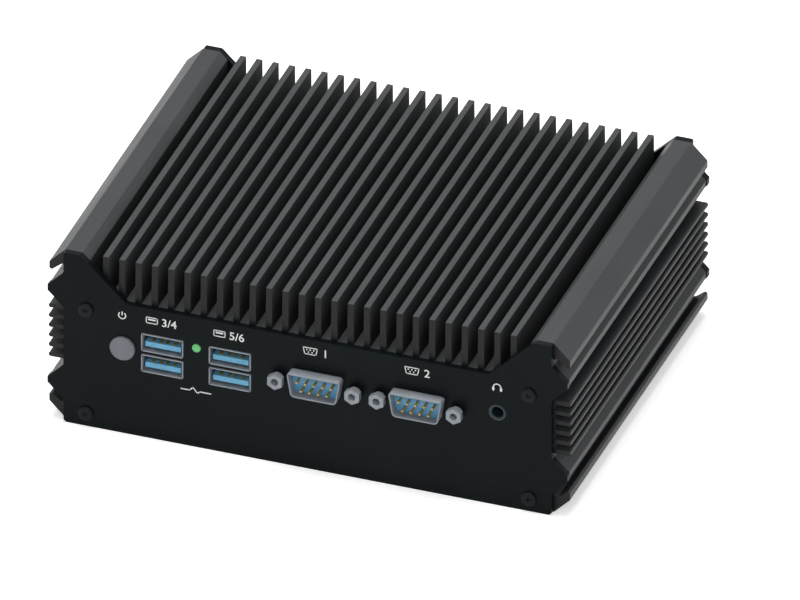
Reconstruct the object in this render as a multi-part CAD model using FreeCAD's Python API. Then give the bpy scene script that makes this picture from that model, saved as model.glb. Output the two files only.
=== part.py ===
import FreeCAD, Part
import math
import os

# Fanless industrial computer. A finned aluminium extrusion is the housing and the heat sink.
# Flat panels close its ends, a cover closes its open underside, and the board hangs inside it,
# sockets down, with the processor pressed against the extrusion through a thermal pad.
#
# Frame: millimetres, +Z up, origin in the middle of the face that it stands on.
# The front panel faces -Y, and +X is to the right of someone who looks at the front.

V = FreeCAD.Vector

# ---- Housing, sizes of its cross-section
WIDTH = 158.0          # across the straight sides, without teeth and lips
HEIGHT = 60.7          # from the underside to the top of the panels
LENGTH = 122.5         # cut length of the extrusion
PANEL = 2.0            # thickness of the front and rear panels
SETBACK = 0.1          # how far the extrusion stays inside the panels' outline, top and bottom
RAIL_TOP = 5.5         # flat top of each side rail
RAIL_BEVEL = 2.4       # slope from the rail's top to its inner wall
FIN_DEPTH = 14.4       # from the panels' top down to the floor between the fins
FIN_BELOW = 0.1        # fins end this far below the panels' top
FIN_PITCH = 5.28
FIN_TIP = 1.85         # fins are drafted, thinner at the tip
FIN_ROOT = 2.1
RAIL_ROUND = 0.3       # edges of the rails
FIN_CLEAR = 3.0        # least space from the middle of the last fin to the rail
LIP_REACH = 5.3        # how far the hooked lips stand out of the sides
LIP_FACE = 3.4         # upright outer face of a lip
LIP_UNDERCUT = 4.5     # from the rail's top to the root of the groove behind a lip
LIP_BEVEL = 0.5        # outer edges of a lip
SIDE_RISE = 0.35       # middle of the teeth and ribs above half height
TOOTH_OFFSET = 16.5    # middle of a side tooth from the middle of the ribs
TOOTH_REACH = 5.9      # height of a tooth before its tip is cut, with 45 degree flanks
PANEL_TOOTH = 6.2      # the panels' teeth stand slightly further out
TOOTH_BEVEL = 1.45     # cut at a tooth's tip
RIB_PITCH = 3.5        # small cooling ribs between the teeth
RIB_THICK = 1.4
RIB_REACH = 5.5
RIB_BEVEL = 0.4
NOTCH_RUN = 14.9       # width of the sloped shoulder in the panels' top edge
EDGE_BEVEL = 0.8
BASE = 4.4             # metal under the fins
WALL = 4.0             # side walls
PORT_IN = 7.3          # screw channels, from the outer side
PORT_LOW = 4.6         # lower screw channels, from the underside
PORT_DOWN = 4.6        # upper screw channels, below the fin floor
PORT_BOSS = 3.6        # metal round a screw channel
LEDGE = 7.5            # width of the ledge that the cover is screwed to
LEDGE_T = 4.0
COVER_T = 2.0
COVER_GAP = 0.25       # round the cover

# ---- Screws. Threads are drawn as plain cores, and what is hidden has eight flats.
CORE_R = 1.25          # M3 core
FREE_R = 1.65          # free hole for M3
TAP_GAP = 0.05         # between a core and its tapped hole
HEAD_R = 2.45
HEAD_H = 0.9
HEX_AF = 5.0           # hexagon heads inside the case
HEX_H = 2.0
PANEL_SCREW = 8.0      # length under the head
SINK_R = 2.8           # countersunk head, as deep as the cover is thick
SINK_GAP = 0.05
COVER_SCREW = 5.6      # overall length
COVER_SCREW_IN = 3.8   # from the cover's edge to its screws
COVER_SCREW_Y = 50.0
MOUNT_PITCH = 75.0     # square of threaded holes underneath
MOUNT_CORE_R = 1.65    # M4 core
MOUNT_COLLAR_R = 2.9   # collar drawn up round each threaded hole
MOUNT_COLLAR_H = 1.5

# ---- Board
BOARD_T = 1.6
BOARD_SIDE_GAP = 1.0   # from the board's sides to the screw channels
BOARD_GAP = 1.0        # from the board's ends to the panels
CHIP_T = 1.6           # processor
PAD_T = 0.6            # thermal pad
CHIP_W = 27.0
CHIP_L = 25.0
CHIP_LID = 0.75        # the heat spreader's share of the package's width and length
BOARD_SCREW_IN = 4.5   # from the board's sides to its screws
BOARD_SCREW_Y = 40.0
BOARD_BITE = 3.2       # thread in the extrusion
SPACER_AF = 5.5        # hexagonal spacers

# ---- Sockets on the front, places across
BUTTON_X = -59.8
USB_LEFT_X = -47.0
LED_X = -36.0
USB_RIGHT_X = -25.1
SERIAL_1_X = 3.0
SERIAL_GAP = 2.1       # between the two serial sockets
AUDIO_X = 61.4

# ---- Sockets on the rear, places across
LAN_2_X = -46.0
LAN_1_X = -27.0
USB_REAR_X = -5.5
VIDEO_B_X = 15.0
VIDEO_A_X = 36.0
DC_X = 57.0

# ---- Socket sizes. DROP is from the board's underside down to a socket's middle.
CUT_GAP = 0.2          # round a socket in its panel
SHEET = 0.4            # formed sheet of the shells
SEAT = 0.1             # from a panel's inner face to a socket's body
USB_W = 13.6
USB_H = 6.3
USB_WALL = 0.6
USB_DROP = 4.1
USB_PITCH = 7.4
USB_DEPTH = 17.5
USB_PROUD = 0.3
TONGUE_W = 11.5
TONGUE_T = 1.75
TONGUE_LOW = 0.8       # middle of the tongue below the middle of its opening
TONGUE_BACK = 1.0      # its end behind the shell's rim
STRIP_W = 1.0          # contact strips on a tongue
STRIP_T = 0.12
STRIP_BACK = 0.5       # their ends behind the tongue's
STRIP_PLACES = (-3.5, -1.0, 1.0, 3.5)
SERIAL_W = 17.5
SERIAL_H = 8.3
SERIAL_SLOPE = 10.0
SERIAL_ROUND = 1.2
SERIAL_WALL = 0.45
SERIAL_PROUD = 3.4
SERIAL_WELL = 2.9      # from the rim to the insulator
SERIAL_DROP = 7.3
SERIAL_BODY = 8.5
FLANGE_EDGE = 2.9      # from a jackscrew's middle to the flange's end
FLANGE_H = 12.5
FLANGE_T = 0.8
JACK_PITCH = 24.99     # between the two jackscrews of a socket
JACK_AF = 4.7
JACK_NECK = 1.3        # round neck between the hexagon and the panel
JACK_NECK_R = 1.8
JACK_CORE_R = 1.35
JACK_BORE_R = 1.2
JACK_BORE = 3.0
JACK_NUT = 4.0         # length of the nut riveted to the flange
JACK_NUT_AF = 4.9
PIN_PITCH = 2.77
PIN_ROWS = 2.84
PIN_R = 0.5
PIN_BACK = 0.3         # pin tips behind the rim
PIN_LOW = 0.4          # middle of the pins below the middle of the mouth
PIN_LEG = 0.6          # square legs that go up to the board
PIN_LEG_ROWS = 2.0     # between the legs of the two rows
AUDIO_DROP = 5.0
AUDIO_NOSE_R = 2.85
AUDIO_BORE_R = 1.8
AUDIO_W = 6.6
AUDIO_DEPTH = 12.0
LED_DROP = 2.7
LED_R = 1.5
LED_PROUD = 0.5
LED_SEAT = 2.0
LED_BODY = 6.0
BUTTON_DROP = 7.6
BUTTON_R = 4.0
BUTTON_PROUD = 0.9
BUTTON_GAP = 0.15
BUTTON_BEVEL = 0.25
BUTTON_RIM = 0.8       # collar that keeps the button in
BUTTON_TRAVEL = 0.8
STEM_R = 1.5
STEM = 3.1
PLUNGER = 3.0
PLUNGER_L = 4.0
SWITCH_W = 7.0
SWITCH_L = 6.7
LAN_W = 16.0
LAN_H = 13.4
LAN_DEPTH = 18.5
LAN_PROUD = 0.2
LAN_MOUTH_W = 11.8
LAN_MOUTH_H = 7.0
LAN_MOUTH_LOW = 0.6    # middle of the mouth below the middle of the shell
LAN_KEY_W = 6.2
LAN_KEY_H = 1.7
LAN_WELL = 13.0
LAN_PITCH = 1.02
LAN_WIRE = 0.45
LAN_WIRE_DROP = 2.0    # how far a sprung wire slopes down
LAN_WIRE_REACH = 8.0
VIDEO_A_W = 15.2
VIDEO_A_H = 5.9
VIDEO_B_W = 16.9
VIDEO_B_H = 5.8
VIDEO_CUT = 1.8
VIDEO_DROP = 3.4
VIDEO_DEPTH = 11.5
VIDEO_PROUD = 0.3
VIDEO_TONGUE_T = 1.1
VIDEO_TONGUE_SIDE = 1.3
VIDEO_TONGUE_L = 7.75  # from the panel's outer face, less how far the shell stands proud, inwards
VIDEO_WELL = 4.6       # from the panel's inner face to the insulator
VIDEO_FOOT = 6.0       # width of the foot on the board
DC_DROP = 6.5
DC_NOSE_R = 3.9
DC_BORE_R = 3.0
DC_PIN_R = 1.25
DC_PIN_BACK = 1.2
DC_WELL = 9.5
DC_W = 9.2
DC_DEPTH = 14.0

# ---- Parts on the board, places seen from above
MEMORY_X = -22.5
MEMORY_Y = 27.0        # middle of the socket's bar
MEMORY_W = 67.6
MEMORY_L = 30.0
MEMORY_T = 1.0
MEMORY_DROP = 3.3      # from the board's underside to the card's middle
MEMORY_BAR = 6.5
MEMORY_SOCKET_H = 5.2
MEMORY_ARM = 2.4
MEMORY_CHIP_W = 11.0
MEMORY_CHIP_L = 12.0
MEMORY_CHIP_GAP = 4.0
MEMORY_CHIP_IN = 3.0   # from the card's free edge to its chips
DRIVE_X = 59.0         # end of the drive's card in its socket
DRIVE_Y = -23.0
DRIVE_L = 80.0
DRIVE_W = 22.0
DRIVE_T = 0.8
DRIVE_DROP = 2.8
DRIVE_CHIP_START = 12.0   # from the card's end in the socket to its first chip
DRIVE_CHIP_L = 15.0
DRIVE_CHIP_GAP = 5.0
DRIVE_CHIP_IN = 4.0    # from the card's long edges to its chips
DRIVE_CHIP_T = 1.2
DRIVE_SOCKET = 8.5
DRIVE_SOCKET_H = 4.2
CARD_IN = 4.0          # how deep a card sits in its socket
CARD_GAP = 0.05
CELL_X = 38.0
CELL_Y = 14.0
CELL_R = 10.0
CELL_T = 3.2
CELL_CLIP = 1.6        # thickness of the clips beside the cell
CELL_CLIP_L = 9.0
CELL_FLOOR = 1.2
COIL_X = -42.0         # middle of the row of coils
COIL_PITCH = 10.0
COIL_W = 7.0
COIL_H = 4.0
CAN_X = 45.0           # middle of the row of capacitors
CAN_Y = 34.0
CAN_PITCH = 9.0
CAN_R = 3.15
CAN_H = 6.0
CHIP_H = 1.0           # flat chips
LAN_CHIP_Y = 36.5
LAN_CHIP_W = 7.0
SERIAL_CHIP_X = 24.0
SERIAL_CHIP_Y = -4.0
SERIAL_CHIP_W = 12.0

# ---- Places that follow from the sizes above
SIDE = WIDTH / 2
MID = HEIGHT / 2
RIB_MIDDLE = MID + SIDE_RISE
TOP = HEIGHT - SETBACK
END = LENGTH / 2
RAIL_INNER = SIDE - RAIL_TOP - RAIL_BEVEL
FIN_FLOOR = HEIGHT - FIN_DEPTH
CEILING = FIN_FLOOR - BASE
SPACER = CHIP_T + PAD_T
BOARD_TOP = CEILING - SPACER
BOARD_UNDER = BOARD_TOP - BOARD_T
FLANGE_W = JACK_PITCH + 2 * FLANGE_EDGE
SERIAL_2_X = SERIAL_1_X + FLANGE_W + SERIAL_GAP
BOARD_END = END - BOARD_GAP
PORT_X = SIDE - PORT_IN
PORT_HIGH = FIN_FLOOR - PORT_DOWN
BOSS_X = PORT_X - PORT_BOSS
BOARD_SIDE = BOSS_X - BOARD_SIDE_GAP
COVER_X = BOSS_X - COVER_GAP
COVER_Y = END - COVER_GAP
COVER_SCREW_X = COVER_X - COVER_SCREW_IN
PORTS = [(x, z) for x in (-PORT_X, PORT_X) for z in (PORT_LOW, PORT_HIGH)]


# ---------------------------------------------------------------- shapes
def box(x0, x1, y0, y1, z0, z1):
    """A block between two corners."""
    return Part.makeBox(x1 - x0, y1 - y0, z1 - z0, V(x0, y0, z0))


def rod(radius, start, end):
    """A round bar from one point to another."""
    along = end.sub(start)
    return Part.makeCylinder(radius, along.Length, start, along)


def cross_bar(radius, x, z, y0, y1):
    """A round bar along Y."""
    return rod(radius, V(x, y0, z), V(x, y1, z))


def octagon(radius, z):
    """Closed eight-sided outline with its corners at the radius."""
    turns = [math.radians(22.5 + 45 * i) for i in range(8)]
    corners = [V(radius * math.cos(a), radius * math.sin(a), z) for a in turns]
    return Part.makePolygon(corners + corners[:1])


def flat_bar(radius, start, end):
    """An eight-sided bar for a hidden core or its hole."""
    along = end.sub(start)
    prism = Part.Face(octagon(radius, 0)).extrude(V(0, 0, along.Length))
    return facing(prism, start, along)


def flat_cone(low_radius, high_radius, z0, z1):
    """An eight-sided cone frustum."""
    return Part.makeLoft([octagon(low_radius, z0), octagon(high_radius, z1)], True, True)


def flat_cross_bar(radius, x, z, y0, y1):
    """An eight-sided bar along Y."""
    return flat_bar(radius, V(x, y0, z), V(x, y1, z))


def fused(shapes):
    """One solid from several that touch."""
    return shapes[0].multiFuse(shapes[1:]).removeSplitter()


def corner_points(before, corner, after, radius):
    """Start, middle and end of the arc that rounds a corner."""
    back = before.sub(corner)
    ahead = after.sub(corner)
    half = back.getAngle(ahead) / 2
    radius = min(radius, 0.45 * min(back.Length, ahead.Length) * math.tan(half))
    back.normalize()
    ahead.normalize()
    inward = back.add(ahead).normalize()
    reach = radius / math.tan(half)
    bow = radius / math.sin(half) - radius
    return [corner.add(back * reach), corner.add(inward * bow), corner.add(ahead * reach)]


def closed_wire(corners, round_off):
    """Closed outline through (point, size) corners, each rounded off or cut flat by its size."""
    count = len(corners)
    arcs = []
    for i, (point, radius) in enumerate(corners):
        if radius > 0:
            arcs.append(corner_points(corners[i - 1][0], point, corners[(i + 1) % count][0], radius))
        else:
            arcs.append([point, point, point])
    edges = []
    for i, (start, middle, end) in enumerate(arcs):
        last = arcs[i - 1][2]
        if last.distanceToPoint(start) > 1e-6:
            edges.append(Part.makeLine(last, start))
        if start.distanceToPoint(end) > 1e-6 and round_off:
            edges.append(Part.Arc(start, middle, end).toShape())
        elif start.distanceToPoint(end) > 1e-6:
            edges.append(Part.makeLine(start, end))
    return Part.Wire(edges)


def bar_y(corners, y0, y1, round_off=False):
    """A bar along Y with an outline of (x, z, size) corners."""
    wire = closed_wire([(V(x, y0, z), size) for x, z, size in corners], round_off)
    return Part.Face(wire).extrude(V(0, y1 - y0, 0))


def plate_z(corners, z0, z1):
    """A plate with an outline of (x, y, size) corners, cut flat."""
    wire = closed_wire([(V(x, y, z0), size) for x, y, size in corners], False)
    return Part.Face(wire).extrude(V(0, 0, z1 - z0))


def bar_x(corners, x0, x1):
    """A bar along X with an outline of (y, z, size) corners, cut flat."""
    wire = closed_wire([(V(x0, y, z), size) for y, z, size in corners], False)
    return Part.Face(wire).extrude(V(x1 - x0, 0, 0))


def rectangle(u0, u1, v0, v1, size):
    """Corners of a rectangle."""
    return [(u0, v0, size), (u1, v0, size), (u1, v1, size), (u0, v1, size)]


def both_sides(right):
    """A whole outline from the corners of its right half."""
    return right + [(-x, z, r) for x, z, r in reversed(right)]


def hexagon(across_flats, x, z):
    """Corners of a hexagon that stands on a point."""
    radius = across_flats / math.sqrt(3)
    turns = [math.radians(90 + 60 * i) for i in range(6)]
    return [(x + radius * math.cos(a), z + radius * math.sin(a), 0) for a in turns]


def facing(shape, at, toward):
    """Copy of a shape made along +Z, turned to face a direction and set down at a point."""
    place = FreeCAD.Placement(at, FreeCAD.Rotation(V(0, 0, 1), toward))
    return shape.transformed(place.toMatrix(), copy=True)


# ---------------------------------------------------------------- screws
def pan_screw(length):
    """Low pan head screw with the underside of its head at z = 0."""
    head = Part.makeCylinder(HEAD_R, HEAD_H)
    return fused([head, flat_bar(CORE_R, V(0, 0, 0), V(0, 0, -length))])


def hex_screw(length):
    """Hexagon head screw with the underside of its head at z = 0."""
    head = plate_z(hexagon(HEX_AF, 0, 0), 0, HEX_H)
    return fused([head, flat_bar(CORE_R, V(0, 0, 0), V(0, 0, -length))])


def sunk_screw():
    """Countersunk screw with the top of its head at z = 0."""
    head = flat_cone(CORE_R, SINK_R - SINK_GAP, -COVER_T, 0)
    return fused([head, flat_bar(CORE_R, V(0, 0, -COVER_T), V(0, 0, -COVER_SCREW))])


# ---------------------------------------------------------------- housing
def fin_corners():
    """Fins from the middle outwards, as one half of the outline."""
    corners = []
    fins = int((RAIL_INNER - FIN_CLEAR) / FIN_PITCH + 0.5)
    for i in range(fins):
        middle = (i + 0.5) * FIN_PITCH
        corners.append((middle - FIN_ROOT / 2, FIN_FLOOR, 0))
        corners.append((middle - FIN_TIP / 2, HEIGHT - FIN_BELOW, 0))
        corners.append((middle + FIN_TIP / 2, HEIGHT - FIN_BELOW, 0))
        corners.append((middle + FIN_ROOT / 2, FIN_FLOOR, 0))
    return corners


def rib_corners():
    """Cooling ribs on the side, from the top one down."""
    corners = []
    half = int((TOOTH_OFFSET - TOOTH_REACH - RIB_THICK / 2) / RIB_PITCH + 0.5)
    for i in range(2 * half):
        middle = RIB_MIDDLE + (half - 0.5 - i) * RIB_PITCH
        tip = SIDE + RIB_REACH
        corners.append((SIDE, middle + RIB_THICK / 2, 0))
        corners.append((tip, middle + RIB_THICK / 2, RIB_BEVEL))
        corners.append((tip, middle - RIB_THICK / 2, RIB_BEVEL))
        corners.append((SIDE, middle - RIB_THICK / 2, 0))
    return corners


def tooth_corners(reach, offset):
    """A side tooth, from its upper flank down."""
    middle = RIB_MIDDLE + offset
    return [(SIDE, middle + reach, EDGE_BEVEL),
            (SIDE + reach, middle, TOOTH_BEVEL),
            (SIDE, middle - reach, EDGE_BEVEL)]


def lip_corners():
    """Upper hooked lip, from the rail's outer edge to the groove behind it."""
    outer = SIDE + LIP_REACH
    return [(SIDE, TOP, RAIL_ROUND),
            (outer, TOP - LIP_REACH, LIP_BEVEL),
            (outer, TOP - LIP_REACH - LIP_FACE, LIP_BEVEL),
            (SIDE, TOP - LIP_UNDERCUT, EDGE_BEVEL)]


def upside_down(corners):
    """The same corners mirrored about half height, in running order."""
    return [(x, HEIGHT - z, r) for x, z, r in reversed(corners)]


def inner_corners():
    """Inside of the extrusion, from the cover's edge up to the ceiling."""
    inner = SIDE - WALL
    ledge_end = BOSS_X - LEDGE
    ledge_top = COVER_T + LEDGE_T
    return [(BOSS_X, SETBACK, 0),
            (BOSS_X, COVER_T, 0),
            (ledge_end, COVER_T, 0),
            (ledge_end, ledge_top, EDGE_BEVEL),
            (BOSS_X, ledge_top, 0),
            (BOSS_X, PORT_LOW + PORT_BOSS, EDGE_BEVEL),
            (inner, PORT_LOW + PORT_BOSS, 0),
            (inner, PORT_HIGH - PORT_BOSS, 0),
            (BOSS_X, PORT_HIGH - PORT_BOSS, EDGE_BEVEL),
            (BOSS_X, CEILING, 0)]


def heatsink_housing():
    """The extrusion: fins, rails, lips, teeth and ribs round an open channel."""
    rail = [(RAIL_INNER, FIN_FLOOR, 0),
            (RAIL_INNER, TOP - RAIL_BEVEL, RAIL_ROUND),
            (RAIL_INNER + RAIL_BEVEL, TOP, RAIL_ROUND)]
    lip = lip_corners()
    upper, lower = [tooth_corners(TOOTH_REACH, side * TOOTH_OFFSET) for side in (1, -1)]
    right = fin_corners() + rail + lip + upper + rib_corners() + lower + upside_down(lip) + inner_corners()
    body = bar_y(both_sides(right), -END, END)
    tapped = CORE_R + TAP_GAP
    holes = [flat_cross_bar(tapped, x, z, -END - 1, END + 1) for x, z in PORTS]
    deep = BOARD_BITE + 4 * TAP_GAP
    for x, y in board_screw_places():
        holes.append(flat_bar(tapped, V(x, y, CEILING - 1), V(x, y, CEILING + deep)))
    for x, y in cover_screw_places():
        holes.append(flat_bar(tapped, V(x, y, COVER_T - 1), V(x, y, COVER_T + LEDGE_T + 1)))
    return body.cut(Part.Compound(holes))


def panel_blank(y0, y1):
    """A panel's plate: sloped shoulders in its top edge, teeth at its sides."""
    shoulder = SIDE - RAIL_TOP
    upper, lower = [tooth_corners(PANEL_TOOTH, side * TOOTH_OFFSET) for side in (1, -1)]
    right = [(shoulder - NOTCH_RUN, FIN_FLOOR, EDGE_BEVEL),
             (shoulder, HEIGHT, EDGE_BEVEL),
             (SIDE, HEIGHT, EDGE_BEVEL / 2)]
    right = right + upper + lower + [(SIDE, 0, EDGE_BEVEL)]
    plate = bar_y(both_sides(right), y0, y1)
    holes = [flat_cross_bar(FREE_R, x, z, y0 - 1, y1 + 1) for x, z in PORTS]
    return plate.cut(Part.Compound(holes))


def front_panel():
    """Front panel with the openings for the sockets, the button and the light."""
    cuts = [cross_bar(BUTTON_R + BUTTON_GAP, BUTTON_X, BOARD_UNDER - BUTTON_DROP, -END - PANEL, -END),
            cross_bar(LED_R + CUT_GAP / 2, LED_X, BOARD_UNDER - LED_DROP, -END - PANEL, -END),
            cross_bar(AUDIO_NOSE_R + CUT_GAP / 2, AUDIO_X, BOARD_UNDER - AUDIO_DROP, -END - PANEL, -END)]
    for x in (USB_LEFT_X, USB_RIGHT_X):
        cuts += [on_front(cut, x) for cut in usb_cuts()]
    for x in (SERIAL_1_X, SERIAL_2_X):
        cuts += [on_front(cut, x) for cut in serial_cuts()]
    return panel_blank(-END - PANEL, -END).cut(Part.Compound(cuts))


def rear_panel():
    """Rear panel with the openings for network, video, USB and power."""
    cuts = [on_rear(cut, USB_REAR_X) for cut in usb_cuts()]
    for x in (LAN_1_X, LAN_2_X):
        cuts.append(on_rear(lan_cut(), x))
    cuts.append(on_rear(bar_y(video_a_outline(CUT_GAP), -PANEL, 0), VIDEO_A_X))
    cuts.append(on_rear(bar_y(video_b_outline(CUT_GAP), -PANEL, 0), VIDEO_B_X))
    cuts.append(on_rear(cross_bar(DC_NOSE_R + CUT_GAP / 2, 0, -DC_DROP, -PANEL, 0), DC_X))
    return panel_blank(END, END + PANEL).cut(Part.Compound(cuts))


def cover_screw_places():
    """Where the cover is screwed to the ledges."""
    return [(x, y) for x in (-COVER_SCREW_X, COVER_SCREW_X) for y in (-COVER_SCREW_Y, COVER_SCREW_Y)]


def mount_places():
    """Corners of the square of threaded holes underneath."""
    half = MOUNT_PITCH / 2
    return [(x, y) for x in (-half, half) for y in (-half, half)]


def bottom_cover():
    """Flat cover with countersunk holes, and tapped holes in drawn collars."""
    plate = plate_z(rectangle(-COVER_X, COVER_X, -COVER_Y, COVER_Y, EDGE_BEVEL), 0, COVER_T)
    top = COVER_T + MOUNT_COLLAR_H
    collars = [flat_bar(MOUNT_COLLAR_R, V(x, y, COVER_T), V(x, y, top)) for x, y in mount_places()]
    cuts = [rod(MOUNT_CORE_R, V(x, y, -1), V(x, y, top + 1)) for x, y in mount_places()]
    for x, y in cover_screw_places():
        cuts.append(Part.makeCone(SINK_R, CORE_R + SINK_GAP, COVER_T, V(x, y, 0)))
    return fused([plate] + collars).cut(Part.Compound(cuts))


def panel_screws(face_y, outward):
    """Four pan head screws in a panel's corners."""
    screw = pan_screw(PANEL_SCREW)
    return [facing(screw, V(x, face_y, z), V(0, outward, 0)) for x, z in PORTS]


# ---------------------------------------------------------------- board
def board_screw_places():
    """Screws near the board's corners."""
    across = BOARD_SIDE - BOARD_SCREW_IN
    return [(x, y) for x in (-across, across) for y in (-BOARD_SCREW_Y, BOARD_SCREW_Y)]


def mainboard():
    """The circuit board, components down."""
    outline = rectangle(-BOARD_SIDE, BOARD_SIDE, -BOARD_END, BOARD_END, EDGE_BEVEL)
    plate = plate_z(outline, BOARD_UNDER, BOARD_TOP)
    holes = [flat_bar(FREE_R, V(x, y, BOARD_UNDER - 1), V(x, y, BOARD_TOP + 1))
             for x, y in board_screw_places()]
    return plate.cut(Part.Compound(holes))


def board_spacer(x, y):
    """Hexagonal tube that sets the board's distance from the extrusion."""
    tube = plate_z(hexagon(SPACER_AF, x, y), BOARD_TOP, CEILING)
    return tube.cut(flat_bar(FREE_R, V(x, y, BOARD_TOP - 1), V(x, y, CEILING + 1)))


def board_screws():
    """Screws from below, through board and spacers, into the extrusion."""
    screw = hex_screw(BOARD_T + SPACER + BOARD_BITE)
    return [facing(screw, V(x, y, BOARD_UNDER), V(0, 0, -1)) for x, y in board_screw_places()]


def processor():
    """Processor package: a thin substrate that carries a heat spreader."""
    substrate = CHIP_T / 2
    lid = CHIP_LID
    base = box(-CHIP_W / 2, CHIP_W / 2, -CHIP_L / 2, CHIP_L / 2, BOARD_TOP, BOARD_TOP + substrate)
    spreader = box(-lid * CHIP_W / 2, lid * CHIP_W / 2, -lid * CHIP_L / 2, lid * CHIP_L / 2,
                   BOARD_TOP + substrate, BOARD_TOP + CHIP_T)
    return fused([base, spreader])


def thermal_pad():
    """Soft pad between the processor and the extrusion."""
    return box(-CHIP_W / 2, CHIP_W / 2, -CHIP_L / 2, CHIP_L / 2, BOARD_TOP + CHIP_T, CEILING)


def memory_card():
    """Memory module with chips on both faces."""
    z = BOARD_UNDER - MEMORY_DROP
    far = MEMORY_Y - MEMORY_BAR / 2 + CARD_IN
    near = far - MEMORY_L
    half = MEMORY_W / 2
    solids = [box(MEMORY_X - half, MEMORY_X + half, near, far, z - MEMORY_T / 2, z + MEMORY_T / 2)]
    thick = MEMORY_T / 2 + CHIP_H
    for i in range(4):
        x = MEMORY_X + (i - 1.5) * (MEMORY_CHIP_W + MEMORY_CHIP_GAP) - MEMORY_CHIP_W / 2
        y = near + MEMORY_CHIP_IN
        solids.append(box(x, x + MEMORY_CHIP_W, y, y + MEMORY_CHIP_L, z - thick, z + thick))
    return fused(solids)


def memory_socket():
    """Slotted bar with two sprung arms that hold the module's sides."""
    half = MEMORY_W / 2
    back = MEMORY_Y + MEMORY_BAR / 2
    front = MEMORY_Y - MEMORY_BAR / 2
    low = BOARD_UNDER - MEMORY_SOCKET_H
    outer = half + CARD_GAP + MEMORY_ARM
    bar = box(MEMORY_X - outer, MEMORY_X + outer, front, back, low, BOARD_UNDER)
    arms = []
    for side in (-1, 1):
        inner_x = MEMORY_X + side * (half + CARD_GAP)
        outer_x = MEMORY_X + side * outer
        reach = front + CARD_IN - MEMORY_L + 2
        arms.append(box(min(inner_x, outer_x), max(inner_x, outer_x), reach, front, low, BOARD_UNDER))
    z = BOARD_UNDER - MEMORY_DROP
    slot_t = MEMORY_T / 2 + CARD_GAP
    slot = box(MEMORY_X - half - CARD_GAP, MEMORY_X + half + CARD_GAP, front - 1, front + CARD_IN + CARD_GAP,
               z - slot_t, z + slot_t)
    return fused([bar] + arms).cut(slot)


def drive_card():
    """Solid state drive: a narrow card with a controller and two memory chips."""
    z = BOARD_UNDER - DRIVE_DROP
    half = DRIVE_W / 2
    card = box(DRIVE_X - DRIVE_L, DRIVE_X, DRIVE_Y - half, DRIVE_Y + half, z - DRIVE_T / 2, z + DRIVE_T / 2)
    solids = [card]
    half_chip = half - DRIVE_CHIP_IN
    low = z - DRIVE_T / 2 - DRIVE_CHIP_T
    for i in range(3):
        x = DRIVE_X - DRIVE_CHIP_START - i * (DRIVE_CHIP_L + DRIVE_CHIP_GAP)
        solids.append(box(x - DRIVE_CHIP_L, x, DRIVE_Y - half_chip, DRIVE_Y + half_chip, low, z))
    notch = flat_bar(CORE_R + CUT_GAP, V(DRIVE_X - DRIVE_L, DRIVE_Y, z - 1), V(DRIVE_X - DRIVE_L, DRIVE_Y, z + 1))
    return fused(solids).cut(notch)


def drive_socket():
    """Socket that the drive's edge sits in."""
    z = BOARD_UNDER - DRIVE_DROP
    half = DRIVE_W / 2
    x0 = DRIVE_X - CARD_IN
    body = box(x0, x0 + DRIVE_SOCKET, DRIVE_Y - half - 1, DRIVE_Y + half + 1,
               BOARD_UNDER - DRIVE_SOCKET_H, BOARD_UNDER)
    slot_t = DRIVE_T / 2 + CARD_GAP
    slot = box(x0 - 1, DRIVE_X + CARD_GAP, DRIVE_Y - half - CARD_GAP, DRIVE_Y + half + CARD_GAP,
               z - slot_t, z + slot_t)
    return body.cut(slot)


def drive_standoff():
    """Threaded spacer under the drive's free end."""
    x = DRIVE_X - DRIVE_L
    top = BOARD_UNDER - DRIVE_DROP + DRIVE_T / 2
    body = plate_z(hexagon(SPACER_AF, x, DRIVE_Y), top, BOARD_UNDER)
    return body.cut(flat_bar(CORE_R + TAP_GAP, V(x, DRIVE_Y, top - 1), V(x, DRIVE_Y, BOARD_UNDER + 1)))


def drive_screw():
    """Screw that holds the drive's free end."""
    under = BOARD_UNDER - DRIVE_DROP - DRIVE_T / 2
    length = BOARD_UNDER - under - 4 * TAP_GAP
    return facing(hex_screw(length), V(DRIVE_X - DRIVE_L, DRIVE_Y, under), V(0, 0, -1))


def cell_holder():
    """Holder of the clock's coin cell: a plate under the board with a clip on each side."""
    outer = CELL_R + TAP_GAP + CELL_CLIP
    half = CELL_CLIP_L / 2
    floor = BOARD_UNDER - CELL_FLOOR
    solids = [box(CELL_X - outer, CELL_X + outer, CELL_Y - half, CELL_Y + half, floor, BOARD_UNDER)]
    for x in (CELL_X - outer, CELL_X + outer - CELL_CLIP):
        solids.append(box(x, x + CELL_CLIP, CELL_Y - half, CELL_Y + half, floor - CELL_T, floor))
    return fused(solids)


def coin_cell():
    """Coin cell in its holder."""
    top = BOARD_UNDER - CELL_FLOOR
    return rod(CELL_R, V(CELL_X, CELL_Y, top - CELL_T), V(CELL_X, CELL_Y, top))


def power_inductors():
    """Three moulded coils of the board's converters, in a row beside the drive."""
    half = COIL_W / 2
    coils = []
    for i in range(3):
        x = COIL_X + (i - 1) * COIL_PITCH
        outline = rectangle(x - half, x + half, DRIVE_Y - half, DRIVE_Y + half, EDGE_BEVEL)
        coils.append(plate_z(outline, BOARD_UNDER - COIL_H, BOARD_UNDER))
    return coils


def capacitors():
    """Three can capacitors behind the power inlet."""
    cans = []
    for i in range(3):
        x = CAN_X + (i - 1) * CAN_PITCH
        cans.append(flat_bar(CAN_R, V(x, CAN_Y, BOARD_UNDER - CAN_H), V(x, CAN_Y, BOARD_UNDER)))
    return cans


def flat_chip(x, y, width):
    """A square chip on the board's underside."""
    half = width / 2
    return box(x - half, x + half, y - half, y + half, BOARD_UNDER - CHIP_H, BOARD_UNDER)


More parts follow.
